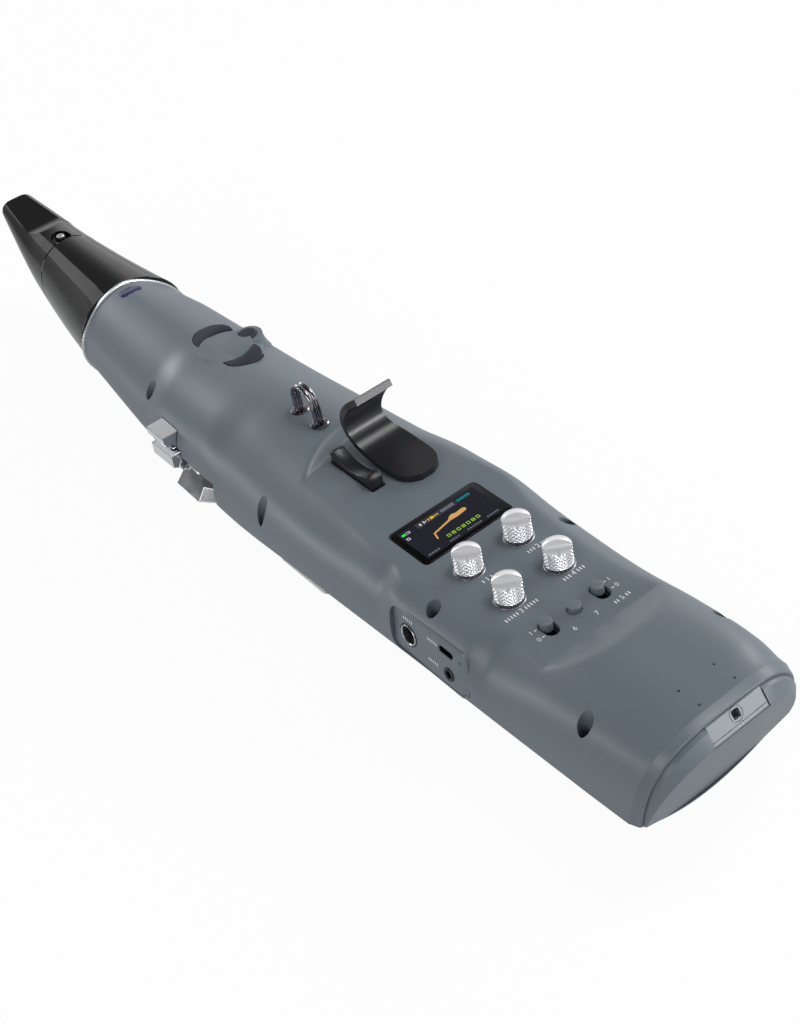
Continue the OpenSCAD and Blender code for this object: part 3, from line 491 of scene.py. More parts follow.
# A hole's wall with a rounded lip that follows the surface; outline_of gives the outline for a widening
def lip(name, outline_of, radius, floor, top_of=over_z, closed_floor=True):
    rows = []
    for k in range(6):
        a = math.pi / 2 * k / 5
        drop = radius * (1 - math.cos(a)) + 0.015
        rows.append([place(leaned(x, top_of(x, y)), y, top_of(x, y) - drop) for x, y in outline_of(radius * (1 - math.sin(a)))])
    outline = outline_of(0)
    rows.append([place(leaned(x, floor), y, floor) for x, y in outline])
    cx = sum(x for x, y in outline) / len(outline)
    cy = sum(y for x, y in outline) / len(outline)
    if closed_floor:
        rows.append([place(leaned(cx + 0.05 * (x - cx), floor), cy + 0.05 * (y - cy), floor) for x, y in outline])
    obj = mesh_object(name, list(reversed(rows)), caps=False)
    return obj


def merged(name, parts):
    bm = bmesh.new()
    for part in parts:
        bm.from_mesh(part.data)
        bpy.data.objects.remove(part)
    mesh = bpy.data.meshes.new(name)
    bm.to_mesh(mesh)
    bm.free()
    obj = bpy.data.objects.new(name, mesh)
    scene.collection.objects.link(obj)
    return obj


def round_holes(bm):
    for x, y in WELLS:
        for s in (-1, 1):
            rod_verts(bm, x, s * y, 7.9, well_floor(x), 22)
    prism_verts(bm, pill_outline(WINDOW_X, 0, 7.3, 13.7), 0, 20)
    rod_verts(bm, LOBE[0], LOBE[1], 2 * (BUTTON_R + 0.25), -10, 20)
    for s in (-1, 1):
        rod_verts(bm, STRAP_X + s * STRAP_HALF, 0, 9.5, 5.2, 20)
        prism_verts(bm, pill_outline(SWITCH_X, s * SWITCH_Y, 10.5, 7.3), -5, 5)
    prism_verts(bm, crescent_outline(*UP_KEY[:2], UP_KEY[2] + 0.4, REST_R + 0.2), -5.6, 20)
    prism_verts(bm, crescent_outline(*DOWN_KEY[:2], DOWN_KEY[2] + 0.4, REST_R + 0.2), -5.6, 20)
    for x, y in KNOBS.values():
        rod_verts(bm, x, y, 7.6, -5, 5)
    rod_verts(bm, SWITCH_X, 0, 6.4, -5, 5)
    prism_verts(bm, plate_outline(LEVER_X, LEVER_Y, 34.6, 8.0, 1.0), -8, 10)
    prism_verts(bm, plate_outline(GLASS_X, 0, 28.8, 50.4, 2.6), -1.4, 5)
    for x, y in PINHOLES:
        rod_verts(bm, x, y, 1.3, 4, 14, 24)


def narrow_holes(bm):
    prism_verts(bm, plate_outline(GLASS_X, 0, 25.6, 47.2, 1.5), -5, 0)


def key_openings(bm):
    box_verts(bm, -66.9, -48.9, -62, -34, -23.9, -14.1)
    box_verts(bm, -66.4, -44.6, -62, -34, -36.3, -23.2)
    box_verts(bm, -46.6, -11.3, -62, -34, -47.3, -26.6)


def side_openings(bm):
    for x in (-8, 19.5):
        box_verts(bm, x - 12.4, x + 12.4, 34, 62, -44.9, -35.6)


STEM_SPOTS = [(-108, 0), (-84, 0), (-60, 0), (92, 0), (117, 0), (142, 0), (46, -26), (176, 24)]


def stem_bores(bm):
    for x, y in STEM_SPOTS:
        rod_verts(bm, x, y, 6.3, -64, -30)


rear = wall_object("rear_case", over_row, 120)
carve(rear, flare("disc", REST_X, REST_Y, REST_R, 5.2, -1.0, 5.0), "UNION")
carve(rear, flare("lobe", LOBE[0], LOBE[1], 8.0, 3.4, -7.2, 3.0), "UNION")
blister = made_of("blister", lambda bm: on_flank(bm, prism_verts(bm, plate_outline(0, 0, 52.2, 24, 5), -6, 0)))
carve(rear, blister, "UNION")
carve(rear, made_of("round_holes", round_holes))
carve(rear, made_of("narrow_holes", narrow_holes))
carve(rear, made_of("plate_pocket", lambda bm: on_flank(bm, prism_verts(bm, plate_outline(0, 0, 49.4, 22.4, 4.2), -2.1, 6))))
carve(rear, made_of("socket_room", lambda bm: on_flank(bm, prism_verts(bm, plate_outline(0, 0, 44, 17, 3), -12, 0))))
carve(rear, made_of("key_openings", key_openings))
carve(rear, made_of("side_openings", side_openings))
finish_piece(rear, case_abs, nodes=["rear_shell"], angle=17)
cups = [lip("well", lambda w, x=x, y=s * y: arc(x, y, 3.5 + w, 0, 354, 59), 0.42, well_floor(x)) for x, y in WELLS for s in (-1, 1)]
cups += [lip("slot", lambda w, y=s * SWITCH_Y: pill_outline(SWITCH_X, y, 10 + 2 * w, 6.8 + 2 * w), 0.22, -2.6, closed_floor=False) for s in (-1, 1)]
cups += [lip("pinhole", lambda w, x=x, y=y: arc(x, y, 0.5 + w, 0, 345, 23), 0.14, 4.5) for x, y in PINHOLES]
finish_piece(merged("hole_lips", cups), case_abs, angle=60)

front = wall_object("front_case", below_row, 84)
carve(front, made_of("key_openings", key_openings))
carve(front, made_of("side_openings", side_openings))
carve(front, made_of("stem_bores", stem_bores))
finish_piece(front, case_abs, nodes=["front_shell"], angle=17)
print("shells", len(rear.data.polygons), len(front.data.polygons))


# Mouthpiece
# Glossy black ABS in two mouldings, a base and a beak, joined at a fine seam and held by one screw.
# The beak's thumb side carries a flat reed table that ends in a ledge, with a band down each side.
BEAK_X, LEDGE_X, THROAT_X = -236.5, -262.0, -205.2
MOUTH_W = [(-HALF_LENGTH, 10.7), (LEDGE_X, 19.3), (BEAK_X, 23.2), (THROAT_X, 28.2), (RING_X, 34.3)]
MOUTH_MID = [(-HALF_LENGTH, 13.4), (LEDGE_X, -5.5), (BEAK_X, -13.5), (THROAT_X, -18.5), (RING_X, -20)]
MOUTH_TOP = [(-HALF_LENGTH, 20.8), (LEDGE_X, 15.4), (BEAK_X, 13.5), (THROAT_X, 11), (RING_X, 7.9)]
MOUTH_LOW = [(-HALF_LENGTH, 9), (LEDGE_X, -26), (BEAK_X, -41), (THROAT_X, -46.5), (RING_X, -46.8)]
MOUTH_SQUARES = [(-HALF_LENGTH, 2.7), (LEDGE_X, 2.25), (BEAK_X, 2.2), (RING_X, 2.1)]
SCREW_X = BEAK_X - 5.6
BAND = (23, 29)


def mouth_row(x, inset=0.0, steps=144):
    middle = curve_at(MOUTH_MID, x)
    up = curve_at(MOUTH_TOP, x) - middle - inset
    down = middle - curve_at(MOUTH_LOW, x) - inset
    half = curve_at(MOUTH_W, x) - inset
    row = []
    for i in range(steps):
        t = 2 * math.pi * i / steps
        s = math.sin(t)
        square = curve_at(MOUTH_SQUARES, x) - (0.15 if math.cos(t) < 0 and x > LEDGE_X else 0)
        row.append(place(x, -half * power(math.cos(t), 2 / square), middle + (up if s > 0 else down) * power(s, 2 / square)))
    for i in range(BAND[0] + 1, BAND[1]):
        row[i] = row[BAND[0]].lerp(row[BAND[1]], (i - BAND[0]) / (BAND[1] - BAND[0]))
    return row


def table_z(x):
    return 20 - 0.1975 * (x + HALF_LENGTH)


def side_cut(name, outline, y0=-40.0, y1=40.0):
    bm = bmesh.new()
    left = [bm.verts.new(place(x, y0, z)) for x, z in outline]
    right = [bm.verts.new(place(x, y1, z)) for x, z in outline]
    bm.faces.new(left)
    bm.faces.new(list(reversed(right)))
    for i in range(len(outline)):
        k = (i + 1) % len(outline)
        bm.faces.new((left[k], left[i], right[i], right[k]))
    bmesh.ops.recalc_face_normals(bm, faces=bm.faces)
    mesh = bpy.data.meshes.new(name)
    bm.to_mesh(mesh)
    bm.free()
    obj = bpy.data.objects.new(name, mesh)
    scene.collection.objects.link(obj)
    return obj


# Polished ABS: deep black with a mirror-like skin and only the faintest moulding ripple.
gloss_abs, tree, shader = principled("polished_black_abs", Roughness=0.10, IOR=1.5)
shader.inputs["Base Color"].default_value = linear("#0a0a0b")
where = add(tree, "ShaderNodeTexCoord")
flow = add(tree, "ShaderNodeTexNoise", {"Scale": 60.0, "Detail": 1.0}, {"Vector": where.outputs["Object"]})
ripple = add(tree, "ShaderNodeBump", {"Strength": 0.05, "Distance": 0.0002}, {"Height": flow.outputs["Fac"]})
tree.links.new(ripple.outputs[0], shader.inputs["Normal"])

base = mesh_object("mouthpiece_base_skin", [mouth_row(-236.3, 0.35), mouth_row(-235.9)]
                   + [mouth_row(-235 + 2.2 * i) for i in range(30)] + [mouth_row(-169.3), mouth_row(-169.0, 0.3)])
finish_piece(base, gloss_abs, nodes=["mouthpiece_base"], angle=8)

beak = mesh_object("mouthpiece_beak_skin", [mouth_row(-HALF_LENGTH, 1.2), mouth_row(-HALF_LENGTH + 0.4, 0.4), mouth_row(-HALF_LENGTH + 1.1)]
                   + [mouth_row(-299.5 + 2.1 * i) for i in range(30)] + [mouth_row(-237.1), mouth_row(-236.7, 0.35)])
scoop_start = LEDGE_X - 6
scoop = [(scoop_start + t / 2, table_z(scoop_start + t / 2) + 0.022 * (t / 2) ** 2) for t in range(31)]
carve(beak, side_cut("reed_table", [(-306, 30), (-306, table_z(-306))] + scoop + [(LEDGE_X + 9, 30)]))
edge = beak.modifiers.new("table_edge", "BEVEL")
edge.width = 0.45 * MM
edge.segments = 2
edge.limit_method = "ANGLE"
edge.angle_limit = math.radians(28)
evaluated(beak)
carve(beak, side_cut("tip_notch", [(-302.5, 17.5), (-302.5, 16.3), (-292.5, 15.6)]))
carve(beak, side_cut("air_slot", [(-302.5, 17.8), (-302.5, 15.6), (-286, 13.2), (-286, 14.2)], -4.5, 4.5))
carve(beak, made_of("screw_recess", lambda bm: prism_verts(
    bm, arc(SCREW_X, 0, 5.6, 90, 270, 36) + [(SCREW_X + 7, -5.6), (SCREW_X + 7, 5.6)], 11, 20)))
finish_piece(beak, gloss_abs, nodes=["mouthpiece_beak"], angle=8)


# Neck ring
# A thin brushed nickel band between the mouthpiece and the case, standing just proud of both.
def whole_row(x, at_x, inset, steps=84):
    return over_row(x, at_x, inset, steps) + list(reversed(below_row(x, at_x, inset, steps)))


nickel, tree, shader = principled("brushed_nickel", Metallic=1.0, Roughness=0.28)
shader.inputs["Base Color"].default_value = linear("#c6c8cb")
where = add(tree, "ShaderNodeTexCoord")
grain = add(tree, "ShaderNodeTexNoise", {"Scale": 900.0, "Detail": 2.0}, {"Vector": where.outputs["Object"]})
rough = add(tree, "ShaderNodeMapRange", {"To Min": 0.2, "To Max": 0.36}, {"Value": grain.outputs["Fac"]})
tree.links.new(rough.outputs["Result"], shader.inputs["Roughness"])
ring = mesh_object("neck_band", [whole_row(RING_X, RING_X - 2.0, -0.5), whole_row(RING_X, RING_X - 1.8, -0.9),
                                 whole_row(RING_X, RING_X - 0.2, -0.9), whole_row(RING_X, RING_X, -0.5)])
finish_piece(ring, nickel, nodes=["neck_ring"], angle=40)


# Sensor window
# A small oval of indigo acrylic, polished and slightly domed, set flush behind the neck ring.
def soft_prism(name, outline, z0, z1, bevel=0.5, segments=3, lower=False):
    obj = made_of(name, prism_verts, outline, z0, z1)
    bm = bmesh.new()
    bm.from_mesh(obj.data)
    top = (z1 + LIFT) * MM - 1e-6
    low = (z0 + LIFT) * MM + 1e-6
    rim = [e for e in bm.edges if all(v.co.z > top for v in e.verts) or (lower and all(v.co.z < low for v in e.verts))]
    bmesh.ops.bevel(bm, geom=rim, offset=bevel * MM, segments=segments, profile=0.5, affect="EDGES", clamp_overlap=True)
    bm.to_mesh(obj.data)
    bm.free()
    return obj


acrylic, tree, shader = principled("indigo_acrylic", Roughness=0.06, IOR=1.49)
where = add(tree, "ShaderNodeTexCoord")
cloud = add(tree, "ShaderNodeTexNoise", {"Scale": 160.0, "Detail": 2.0}, {"Vector": where.outputs["Object"]})
depth = add(tree, "ShaderNodeMix", {"data_type": "RGBA"}, {"Factor": cloud.outputs["Fac"]})
depth.inputs[6].default_value = linear("#2a2c55")
depth.inputs[7].default_value = linear("#3a3d6c")
tree.links.new(depth.outputs[2], shader.inputs["Base Color"])
window = soft_prism("window_lens", pill_outline(WINDOW_X, 0, 6.9, 13.3, 28), 4.6, 7.5, 0.5)
finish_piece(window, acrylic, nodes=["sensor_window"])


# Octave keys and thumb button
# Dark indigo silicone-coated keys: two crescents round the thumb disc and a round one on the lobe.
silicone, tree, shader = principled("indigo_silicone", Roughness=0.52, IOR=1.42)
where = add(tree, "ShaderNodeTexCoord")
dust = add(tree, "ShaderNodeTexNoise", {"Scale": 700.0, "Detail": 4.0}, {"Vector": where.outputs["Object"]})
shadeof = add(tree, "ShaderNodeMix", {"data_type": "RGBA"}, {"Factor": dust.outputs["Fac"]})
shadeof.inputs[6].default_value = linear("#1b1d2c")
shadeof.inputs[7].default_value = linear("#262939")
tree.links.new(shadeof.outputs[2], shader.inputs["Base Color"])
matt = add(tree, "ShaderNodeBump", {"Strength": 0.12, "Distance": 0.0001}, {"Height": dust.outputs["Fac"]})
tree.links.new(matt.outputs[0], shader.inputs["Normal"])
for name, spot in (("octave_up_key", UP_KEY), ("octave_down_key", DOWN_KEY)):
    key = soft_prism(name + "_pad", crescent_outline(*spot, REST_R + 0.6), -2, 5.6, 0.9, 4)
    finish_piece(key, silicone, name + "_body", [name], 50)
dot = soft_prism("octave_button_pad", arc(*LOBE, BUTTON_R, 0, 354, 59), -7, 4.8, 1.1, 5)
finish_piece(dot, silicone, "octave_button_body", ["octave_button"], 50)


# Strap ring
# Two dark chrome wires bent side by side into an arch, on two pressed washers.
def lathe(name, profile, x, y, z=0.0, steps=64, hollow=False):
    rows = []
    for r, h in profile:
        rows.append([place(x + r * math.cos(2 * math.pi * i / steps), y + r * math.sin(2 * math.pi * i / steps), z + h)
                     for i in range(steps)])
    return mesh_object(name, rows, looped=hollow)


def tube(name, points, radius, steps=20):
    rows = []
    for i, p in enumerate(points):
        ahead = points[min(i + 1, len(points) - 1)] - points[max(i - 1, 0)]
        side = Vector((0, 1, 0))
        up = ahead.cross(side).normalized()
        rows.append([p + (side * math.cos(2 * math.pi * k / steps) + up * math.sin(2 * math.pi * k / steps)) * radius
                     for k in range(steps)])
    return mesh_object(name, rows)


dark_chrome, tree, shader = principled("dark_chrome", Metallic=1.0, Roughness=0.12)
shader.inputs["Base Color"].default_value = linear("#8d8b90")
where = add(tree, "ShaderNodeTexCoord")
film = add(tree, "ShaderNodeTexNoise", {"Scale": 300.0, "Detail": 2.0}, {"Vector": where.outputs["Object"]})
rough = add(tree, "ShaderNodeMapRange", {"To Min": 0.08, "To Max": 0.18}, {"Value": film.outputs["Fac"]})
tree.links.new(rough.outputs["Result"], shader.inputs["Roughness"])
wires = []
for side in (-1, 1):
    centre = 15.3
    line = [place(STRAP_X - STRAP_HALF, side * 1.25, z) for z in (2.6, 6, 10, 13, centre)]
    line += [place(STRAP_X - STRAP_HALF * math.cos(math.radians(a)), side * 1.25, centre + STRAP_HALF * math.sin(math.radians(a)))
             for a in range(8, 180, 8)]
    line += [place(STRAP_X + STRAP_HALF, side * 1.25, z) for z in (centre, 13, 10, 6, 2.6)]
    wires.append(tube("strap_wire", line, 1.4 * MM, 28))
bm = bmesh.new()
for w in wires:
    bm.from_mesh(w.data)
    bpy.data.objects.remove(w)
mesh = bpy.data.meshes.new("strap_wires")
bm.to_mesh(mesh)
bm.free()
strap = bpy.data.objects.new("strap_wires", mesh)
scene.collection.objects.link(strap)
finish_piece(strap, dark_chrome, nodes=["strap_ring"], angle=50)
for k, side in enumerate((-1, 1)):
    washer = lathe("strap_washer_%d" % k, [(0.1, 5.2), (4.75, 5.2), (4.75, 6.3), (4.2, 6.8), (3.4, 6.9), (0.1, 6.9)],
                   STRAP_X + side * STRAP_HALF, 0)
    finish_piece(washer, dark_chrome, nodes=["strap_washers"] if k == 0 else ())


# Thumb hook
# One satin black moulding: a rounded base on the panel sweeps up into a concave rest with a flared lip.
satin_black, tree, shader = principled("satin_black_abs", Roughness=0.30, IOR=1.5)
shader.inputs["Base Color"].default_value = linear("#1b1a1e")
where = add(tree, "ShaderNodeTexCoord")
skin = add(tree, "ShaderNodeTexNoise", {"Scale": 900.0, "Detail": 3.0}, {"Vector": where.outputs["Object"]})
ripple = add(tree, "ShaderNodeBump", {"Strength": 0.08, "Distance": 0.0001}, {"Height": skin.outputs["Fac"]})
tree.links.new(ripple.outputs[0], shader.inputs["Normal"])
hook_path = [(62.5, 30.2, 15.3, 10.4), (60.2, 29.1, 14.6, 11.8), (57.6, 26.8, 13.4, 12.4), (55.6, 23.0, 11.6, 11.9),
             (54.8, 18.0, 10.3, 10.9), (55.4, 13.0, 10.2, 10.4), (57.6, 8.6, 11.0, 10.6), (61.6, 5.2, 12.2, 11.2),
             (67.0, 3.2, 13.2, 11.8), (74.0, 2.2, 13.6, 12.0), (80.0, 1.9, 13.7, 12.1), (86.0, 1.8, 13.7, 12.0),
             (90.5, 1.8, 13.7, 11.3), (94.0, 1.8, 13.7, 9.4), (96.6, 1.8, 13.7, 6.6), (98.0, 1.8, 13.7, 3.2)]
bm = bmesh.new()
rows = []
across = 14
for x, z, yc, half in hook_path:
    rows.append([bm.verts.new(place(x, yc + half * math.sin(math.pi / 2 * (-1 + 2 * i / across)), z)) for i in range(across + 1)])
for a, b in zip(rows, rows[1:]):
    for i in range(across):
        bm.faces.new((a[i], a[i + 1], b[i + 1], b[i]))
bmesh.ops.recalc_face_normals(bm, faces=bm.faces)
mesh = bpy.data.meshes.new("hook_sweep")
bm.to_mesh(mesh)
bm.free()
hook = bpy.data.objects.new("hook_sweep", mesh)
scene.collection.objects.link(hook)
thick = hook.modifiers.new("thickness", "SOLIDIFY")
thick.thickness = 3.4 * MM
thick.offset = 0
soft = hook.modifiers.new("rounded", "BEVEL")
soft.width = 1.1 * MM
soft.segments = 3
soft.limit_method = "ANGLE"
soft.angle_limit = math.radians(50)
smooth = hook.modifiers.new("smooth", "SUBSURF")
smooth.levels = smooth.render_levels = 2
evaluated(hook)
finish_piece(hook, satin_black, nodes=["thumb_hook"], angle=60)


# Bend lever
# A short rocker in a recess beside the hook, with a raised end each way and a saddle between.
def side_prism(name, outline, y0, y1, bevel=0.7, segments=3):
    bm = bmesh.new()
    left = [bm.verts.new(place(x, y0, z)) for x, z in outline]
    right = [bm.verts.new(place(x, y1, z)) for x, z in outline]
    bm.faces.new(left)
    bm.faces.new(list(reversed(right)))
    count = len(outline)
    for i in range(count):
        k = (i + 1) % count
        bm.faces.new((left[k], left[i], right[i], right[k]))
    bmesh.ops.recalc_face_normals(bm, faces=bm.faces)
    sharp = [e for e in bm.edges if e.calc_face_angle(0) > math.radians(35)]
    bmesh.ops.bevel(bm, geom=sharp, offset=bevel * MM, segments=segments, profile=0.5, affect="EDGES", clamp_overlap=True)
    mesh = bpy.data.meshes.new(name)
    bm.to_mesh(mesh)
    bm.free()
    obj = bpy.data.objects.new(name, mesh)
    scene.collection.objects.link(obj)
    return obj


saddle = [(LEVER_X + 12.2 * i / 8, 3.2 + 3.4 * abs(i / 8) ** 2) for i in range(8, -9, -1)]
lever_outline = [(LEVER_X - 13.6, 7.6), (LEVER_X - 16.4, 6.4), (LEVER_X - 16.4, -1), (LEVER_X - 5, -6.2), (LEVER_X + 5, -6.2),
                 (LEVER_X + 16.4, -1), (LEVER_X + 16.4, 6.4), (LEVER_X + 13.6, 7.6)] + saddle
lever = side_prism("bend_rocker", lever_outline, LEVER_Y - 3.5, LEVER_Y + 3.5, 0.7)
finish_piece(lever, satin_black, "bend_lever_body", ["bend_lever"], 40)


# Display
# A black glass pane over a small colour screen; the picture is a plain status page of bars and a tan shape.
glass, tree, shader = principled("black_display_glass", Roughness=0.05, IOR=1.52)
shader.inputs["Base Color"].default_value = linear("#040405")
shader.inputs["Specular IOR Level"].default_value = 0.16
where = add(tree, "ShaderNodeTexCoord")
smear = add(tree, "ShaderNodeTexNoise", {"Scale": 90.0, "Detail": 3.0}, {"Vector": where.outputs["Object"]})
rough = add(tree, "ShaderNodeMapRange", {"To Min": 0.03, "To Max": 0.09}, {"Value": smear.outputs["Fac"]})
tree.links.new(rough.outputs["Result"], shader.inputs["Roughness"])
pane = soft_prism("display_pane", plate_outline(GLASS_X, 0, 27.9, 49.3, 2.5), -1.3, 0.25, 0.3)
finish_piece(pane, glass, nodes=["display_glass"])


def screen_colour(name, code, strength=0.9):
    material, tree, shader = principled(name, Roughness=0.25)
    shader.inputs["Base Color"].default_value = linear("#050506")
    shader.inputs["Emission Color"].default_value = linear(code)
    shader.inputs["Emission Strength"].default_value = strength
    shader.inputs["Specular IOR Level"].default_value = 0.12
    return material


def screen_shape(name, outlines, material, height=0.30):
    bm = bmesh.new()
    for outline in outlines:
        bm.faces.new([bm.verts.new(place(GLASS_X - v, u, height)) for u, v in outline])
    bmesh.ops.recalc_face_normals(bm, faces=bm.faces)
    for f in bm.faces:
        if f.normal.z < 0:
            f.normal_flip()
    mesh = bpy.data.meshes.new(name)
    bm.to_mesh(mesh)
    bm.free()
    obj = bpy.data.objects.new(name, mesh)
    scene.collection.objects.link(obj)
    finish_piece(obj, material)
    return obj


def bar(u, v, w, h):
    return [(u, v), (u + w, v), (u + w, v + h), (u, v + h)]


screen_shape("screen_field", [bar(-21.6, -11.4, 43.2, 22.8)], screen_colour("screen_dark", "#1d1e28", 0.9), 0.27)
screen_shape("screen_header", [bar(-12.5, 7.2, 22.5, 3.4)], screen_colour("screen_slate", "#3b3d48", 0.8), 0.29)
screen_shape("screen_battery", [bar(-20.6, 8.0, 2.0, 1.5)], screen_colour("screen_green", "#38e05a", 1.0), 0.31)
white_marks = [bar(-18.4, 9.2, 2.2, 0.3), bar(-18.4, 8.0, 2.2, 0.3), bar(-16.5, 8.0, 0.3, 1.5), bar(-20.4, 4.4, 1.6, 0.35),
               bar(-20.4, 5.8, 1.6, 0.35), bar(-20.4, 4.4, 0.35, 1.7), bar(-19.1, 4.4, 0.35, 1.7),
               bar(-10.6, 8.0, 0.8, 1.6), bar(-8.4, 8.0, 0.5, 1.9), bar(-7.6, 8.6, 0.9, 0.5)]
screen_shape("screen_white", white_marks, screen_colour("screen_white_glow", "#dfe3e8", 0.9), 0.31)
screen_shape("screen_amber", [bar(-4.6, 8.0, 1.9, 1.6), bar(-2.2, 8.3, 0.8, 1.0), bar(-5.9, 8.0, 0.6, 1.6), bar(-0.9, 8.3, 0.8, 1.0)],
             screen_colour("screen_amber_glow", "#e8b428", 1.0), 0.31)
screen_shape("screen_lilac", [bar(1.6 + 1.5 * i, 8.0, 1.1, 1.7) for i in range(5)], screen_colour("screen_lilac_glow", "#8d8a9a", 0.7), 0.31)
screen_shape("screen_cyan", [bar(10.8 + 1.5 * i, 8.0, 1.2, 1.7) for i in range(5)], screen_colour("screen_cyan_glow", "#1f7f8a", 0.9), 0.31)
tan = [(-11.0, -4.4), (-10.3, -4.7), (-9.2, -1.0), (0.5, 0.8), (5.0, 0.6), (10.2, 1.2), (10.8, 2.6), (9.6, 3.6), (5.6, 3.2), (3.4, 3.9),
       (1.6, 3.2), (0.2, 1.9), (-9.8, -0.2)]
screen_shape("screen_tan", [tan], screen_colour("screen_tan_glow", "#d9a566", 0.95), 0.31)
digits = []
for i in range(7):
    u = -6.8 + 2.75 * i
    digits += [bar(u, -7.3, 0.35, 1.9), bar(u + 1.35, -7.3, 0.35, 1.9), bar(u, -7.3, 1.7, 0.3), bar(u, -5.7, 1.7, 0.3)]
    if i % 2:
        digits.append(bar(u, -6.5, 1.7, 0.3))
screen_shape("screen_lime", digits, screen_colour("screen_lime_glow", "#9fd24a", 0.95), 0.31)
greys = [bar(-20.0 + 1.6 * i, -10.4, 1.1, 1.1) for i in range(4)] + [bar(-8.0 + 1.4 * i, -10.4, 0.9, 1.0) for i in range(4)]
greys += [bar(1.8 + 1.4 * i, -10.4, 0.9, 1.0) for i in range(6)] + [bar(13.0 + 1.4 * i, -10.4, 0.9, 1.0) for i in range(5)]
screen_shape("screen_grey", greys, screen_colour("screen_grey_glow", "#7c7f88", 0.7), 0.31)


# Control knobs
# Nickel-plated knobs: a fine diamond knurl round the side, a polished low dome, and a thumb scoop cut
# into the near half of the dome.
plated, tree, shader = principled("satin_nickel_plate", Metallic=0.7, Roughness=0.36)
shader.inputs["Base Color"].default_value = linear("#f2f2f5")
where = add(tree, "ShaderNodeTexCoord")
mist = add(tree, "ShaderNodeTexNoise", {"Scale": 500.0, "Detail": 2.0}, {"Vector": where.outputs["Object"]})
rough = add(tree, "ShaderNodeMapRange", {"To Min": 0.28, "To Max": 0.36}, {"Value": mist.outputs["Fac"]})
tree.links.new(rough.outputs["Result"], shader.inputs["Roughness"])


KNOB_R, KNURL_PITCH = 6.4, 2.0


def knurled_knob(name, x, y, steps=320, grooves=20):
    foot = [(0.3, -7.2), (3.0, -7.2), (3.0, 1.7), (6.0, 1.7), (6.3, 1.9)]
    side = [(KNOB_R, 2.0 + 8.5 * i / 72) for i in range(73)]
    crown = [(6.3, 10.75), (6.1, 10.95)] + [(6.1 - 0.36 * k, 10.95 + 2.1 * (1 - (1 - 0.059 * k) ** 2)) for k in range(1, 17)]
    rows = []
    for j, (radius, h) in enumerate(foot + side + crown):
        row = []
        for i in range(steps):
            a = 2 * math.pi * i / steps
            cut = 0
            if len(foot) < j < len(foot) + len(side) - 1:
                u, v = grooves * i / steps, h / KNURL_PITCH
                cut = 0.5 * max(0, 1 - 3.6 * min(abs((u + v) % 1 - 0.5), abs((u - v) % 1 - 0.5)))
            row.append(place(x + (radius - cut) * math.cos(a), y + (radius - cut) * math.sin(a), h))
        rows.append(row)
    knob = mesh_object(name + "_turned", rows)
    dish = [(-0.5, 14), (-0.5, 12.7), (-0.6, 11.7), (0, 10.7), (1.2, 10.2), (2.8, 10.0), (5.0, 10.15), (8, 10.9), (8, 14)]
    scoop = side_cut("scoop", dish, -8, 8)
    turn = Matrix.Translation(place(x, y, 0)) @ Matrix.Rotation(math.radians(-36), 4, "Z") @ Matrix.Translation(-place(0, 0, 0))
    scoop.data.transform(turn)
    carve(knob, scoop)
    wedge = made_of("wedge", lambda bm: prism_verts(bm, [(2.4, 0), (8, -1.7), (8, 1.7)], 9.7, 14))
    wedge.data.transform(turn)
    carve(knob, wedge)
    finish_piece(knob, plated, name + "_body", [name], 20)


for name, (x, y) in KNOBS.items():
    knurled_knob(name, x, y)
for k, (x, y) in enumerate(KNOBS.values()):
    skirt = lathe("knob_skirt_%d" % k, [(3.2, 0.0), (7.0, 0.0), (7.0, 0.3), (6.8, 0.5), (3.2, 0.5)], x, y)
    finish_piece(skirt, nickel, nodes=["knob_washers"] if k == 0 else ())


# Slide switches and wireless button
# Small round caps in the case's own paint, two in dark stadium slots and one straight through the panel.
for name, y in (("power_switch_cap", -SWITCH_Y), ("bite_switch_cap", SWITCH_Y)):
    cap = lathe(name + "_top", [(0.1, -1.4), (2.9, -1.4), (2.9, 2.6), (2.7, 2.9), (2.4, 3.0), (0.1, 3.0)], SWITCH_X - 1.6, y)
    finish_piece(cap, case_abs, name + "_body", [name])
push = lathe("wireless_button_top", [(0.1, -5.4), (2.9, -5.4), (2.9, 2.5), (2.6, 2.9), (2.2, 3.0), (0.1, 3.0)], SWITCH_X, 0)
finish_piece(push, case_abs, "wireless_button_body", ["wireless_button"])


# Jack plate and sockets
# A painted plate in a shallow pocket of the left flank, with two audio jacks, a USB-C mouth and a light.
def flank_piece(name, outline, w0, w1, bevel=0.4):
    obj = soft_prism(name, outline, w0, w1, bevel)
    home = Matrix.Translation(-place(0, 0, 0))
    obj.data.transform(flank_matrix() @ home)
    return obj


def flank_lathe(name, profile, u, v, steps=56, hollow=False):
    obj = lathe(name, profile, 0, 0, 0, steps, hollow)
    obj.data.transform(flank_matrix(u, v) @ Matrix.Translation(-place(0, 0, 0)))
    return obj


plate = flank_piece("jack_plate_skin", plate_outline(0, 0, 49, 22, 4, 10), -2, 0, 0.35)
for outline, deep in ((arc(-14.2, -0.7, 5.7, 0, 350, 35), 3), (arc(13.4, -4.6, 3.3, 0, 350, 35), 3),
                      (pill_outline(11.8, 6.4, 9.8, 4.1), 3), (arc(21, 6.4, 1.0, 0, 345, 23), 3)):
    tool = flank_piece("tool", outline, -3, 3, 0.0)
    carve(plate, tool)
finish_piece(plate, case_abs, nodes=["jack_plate"])

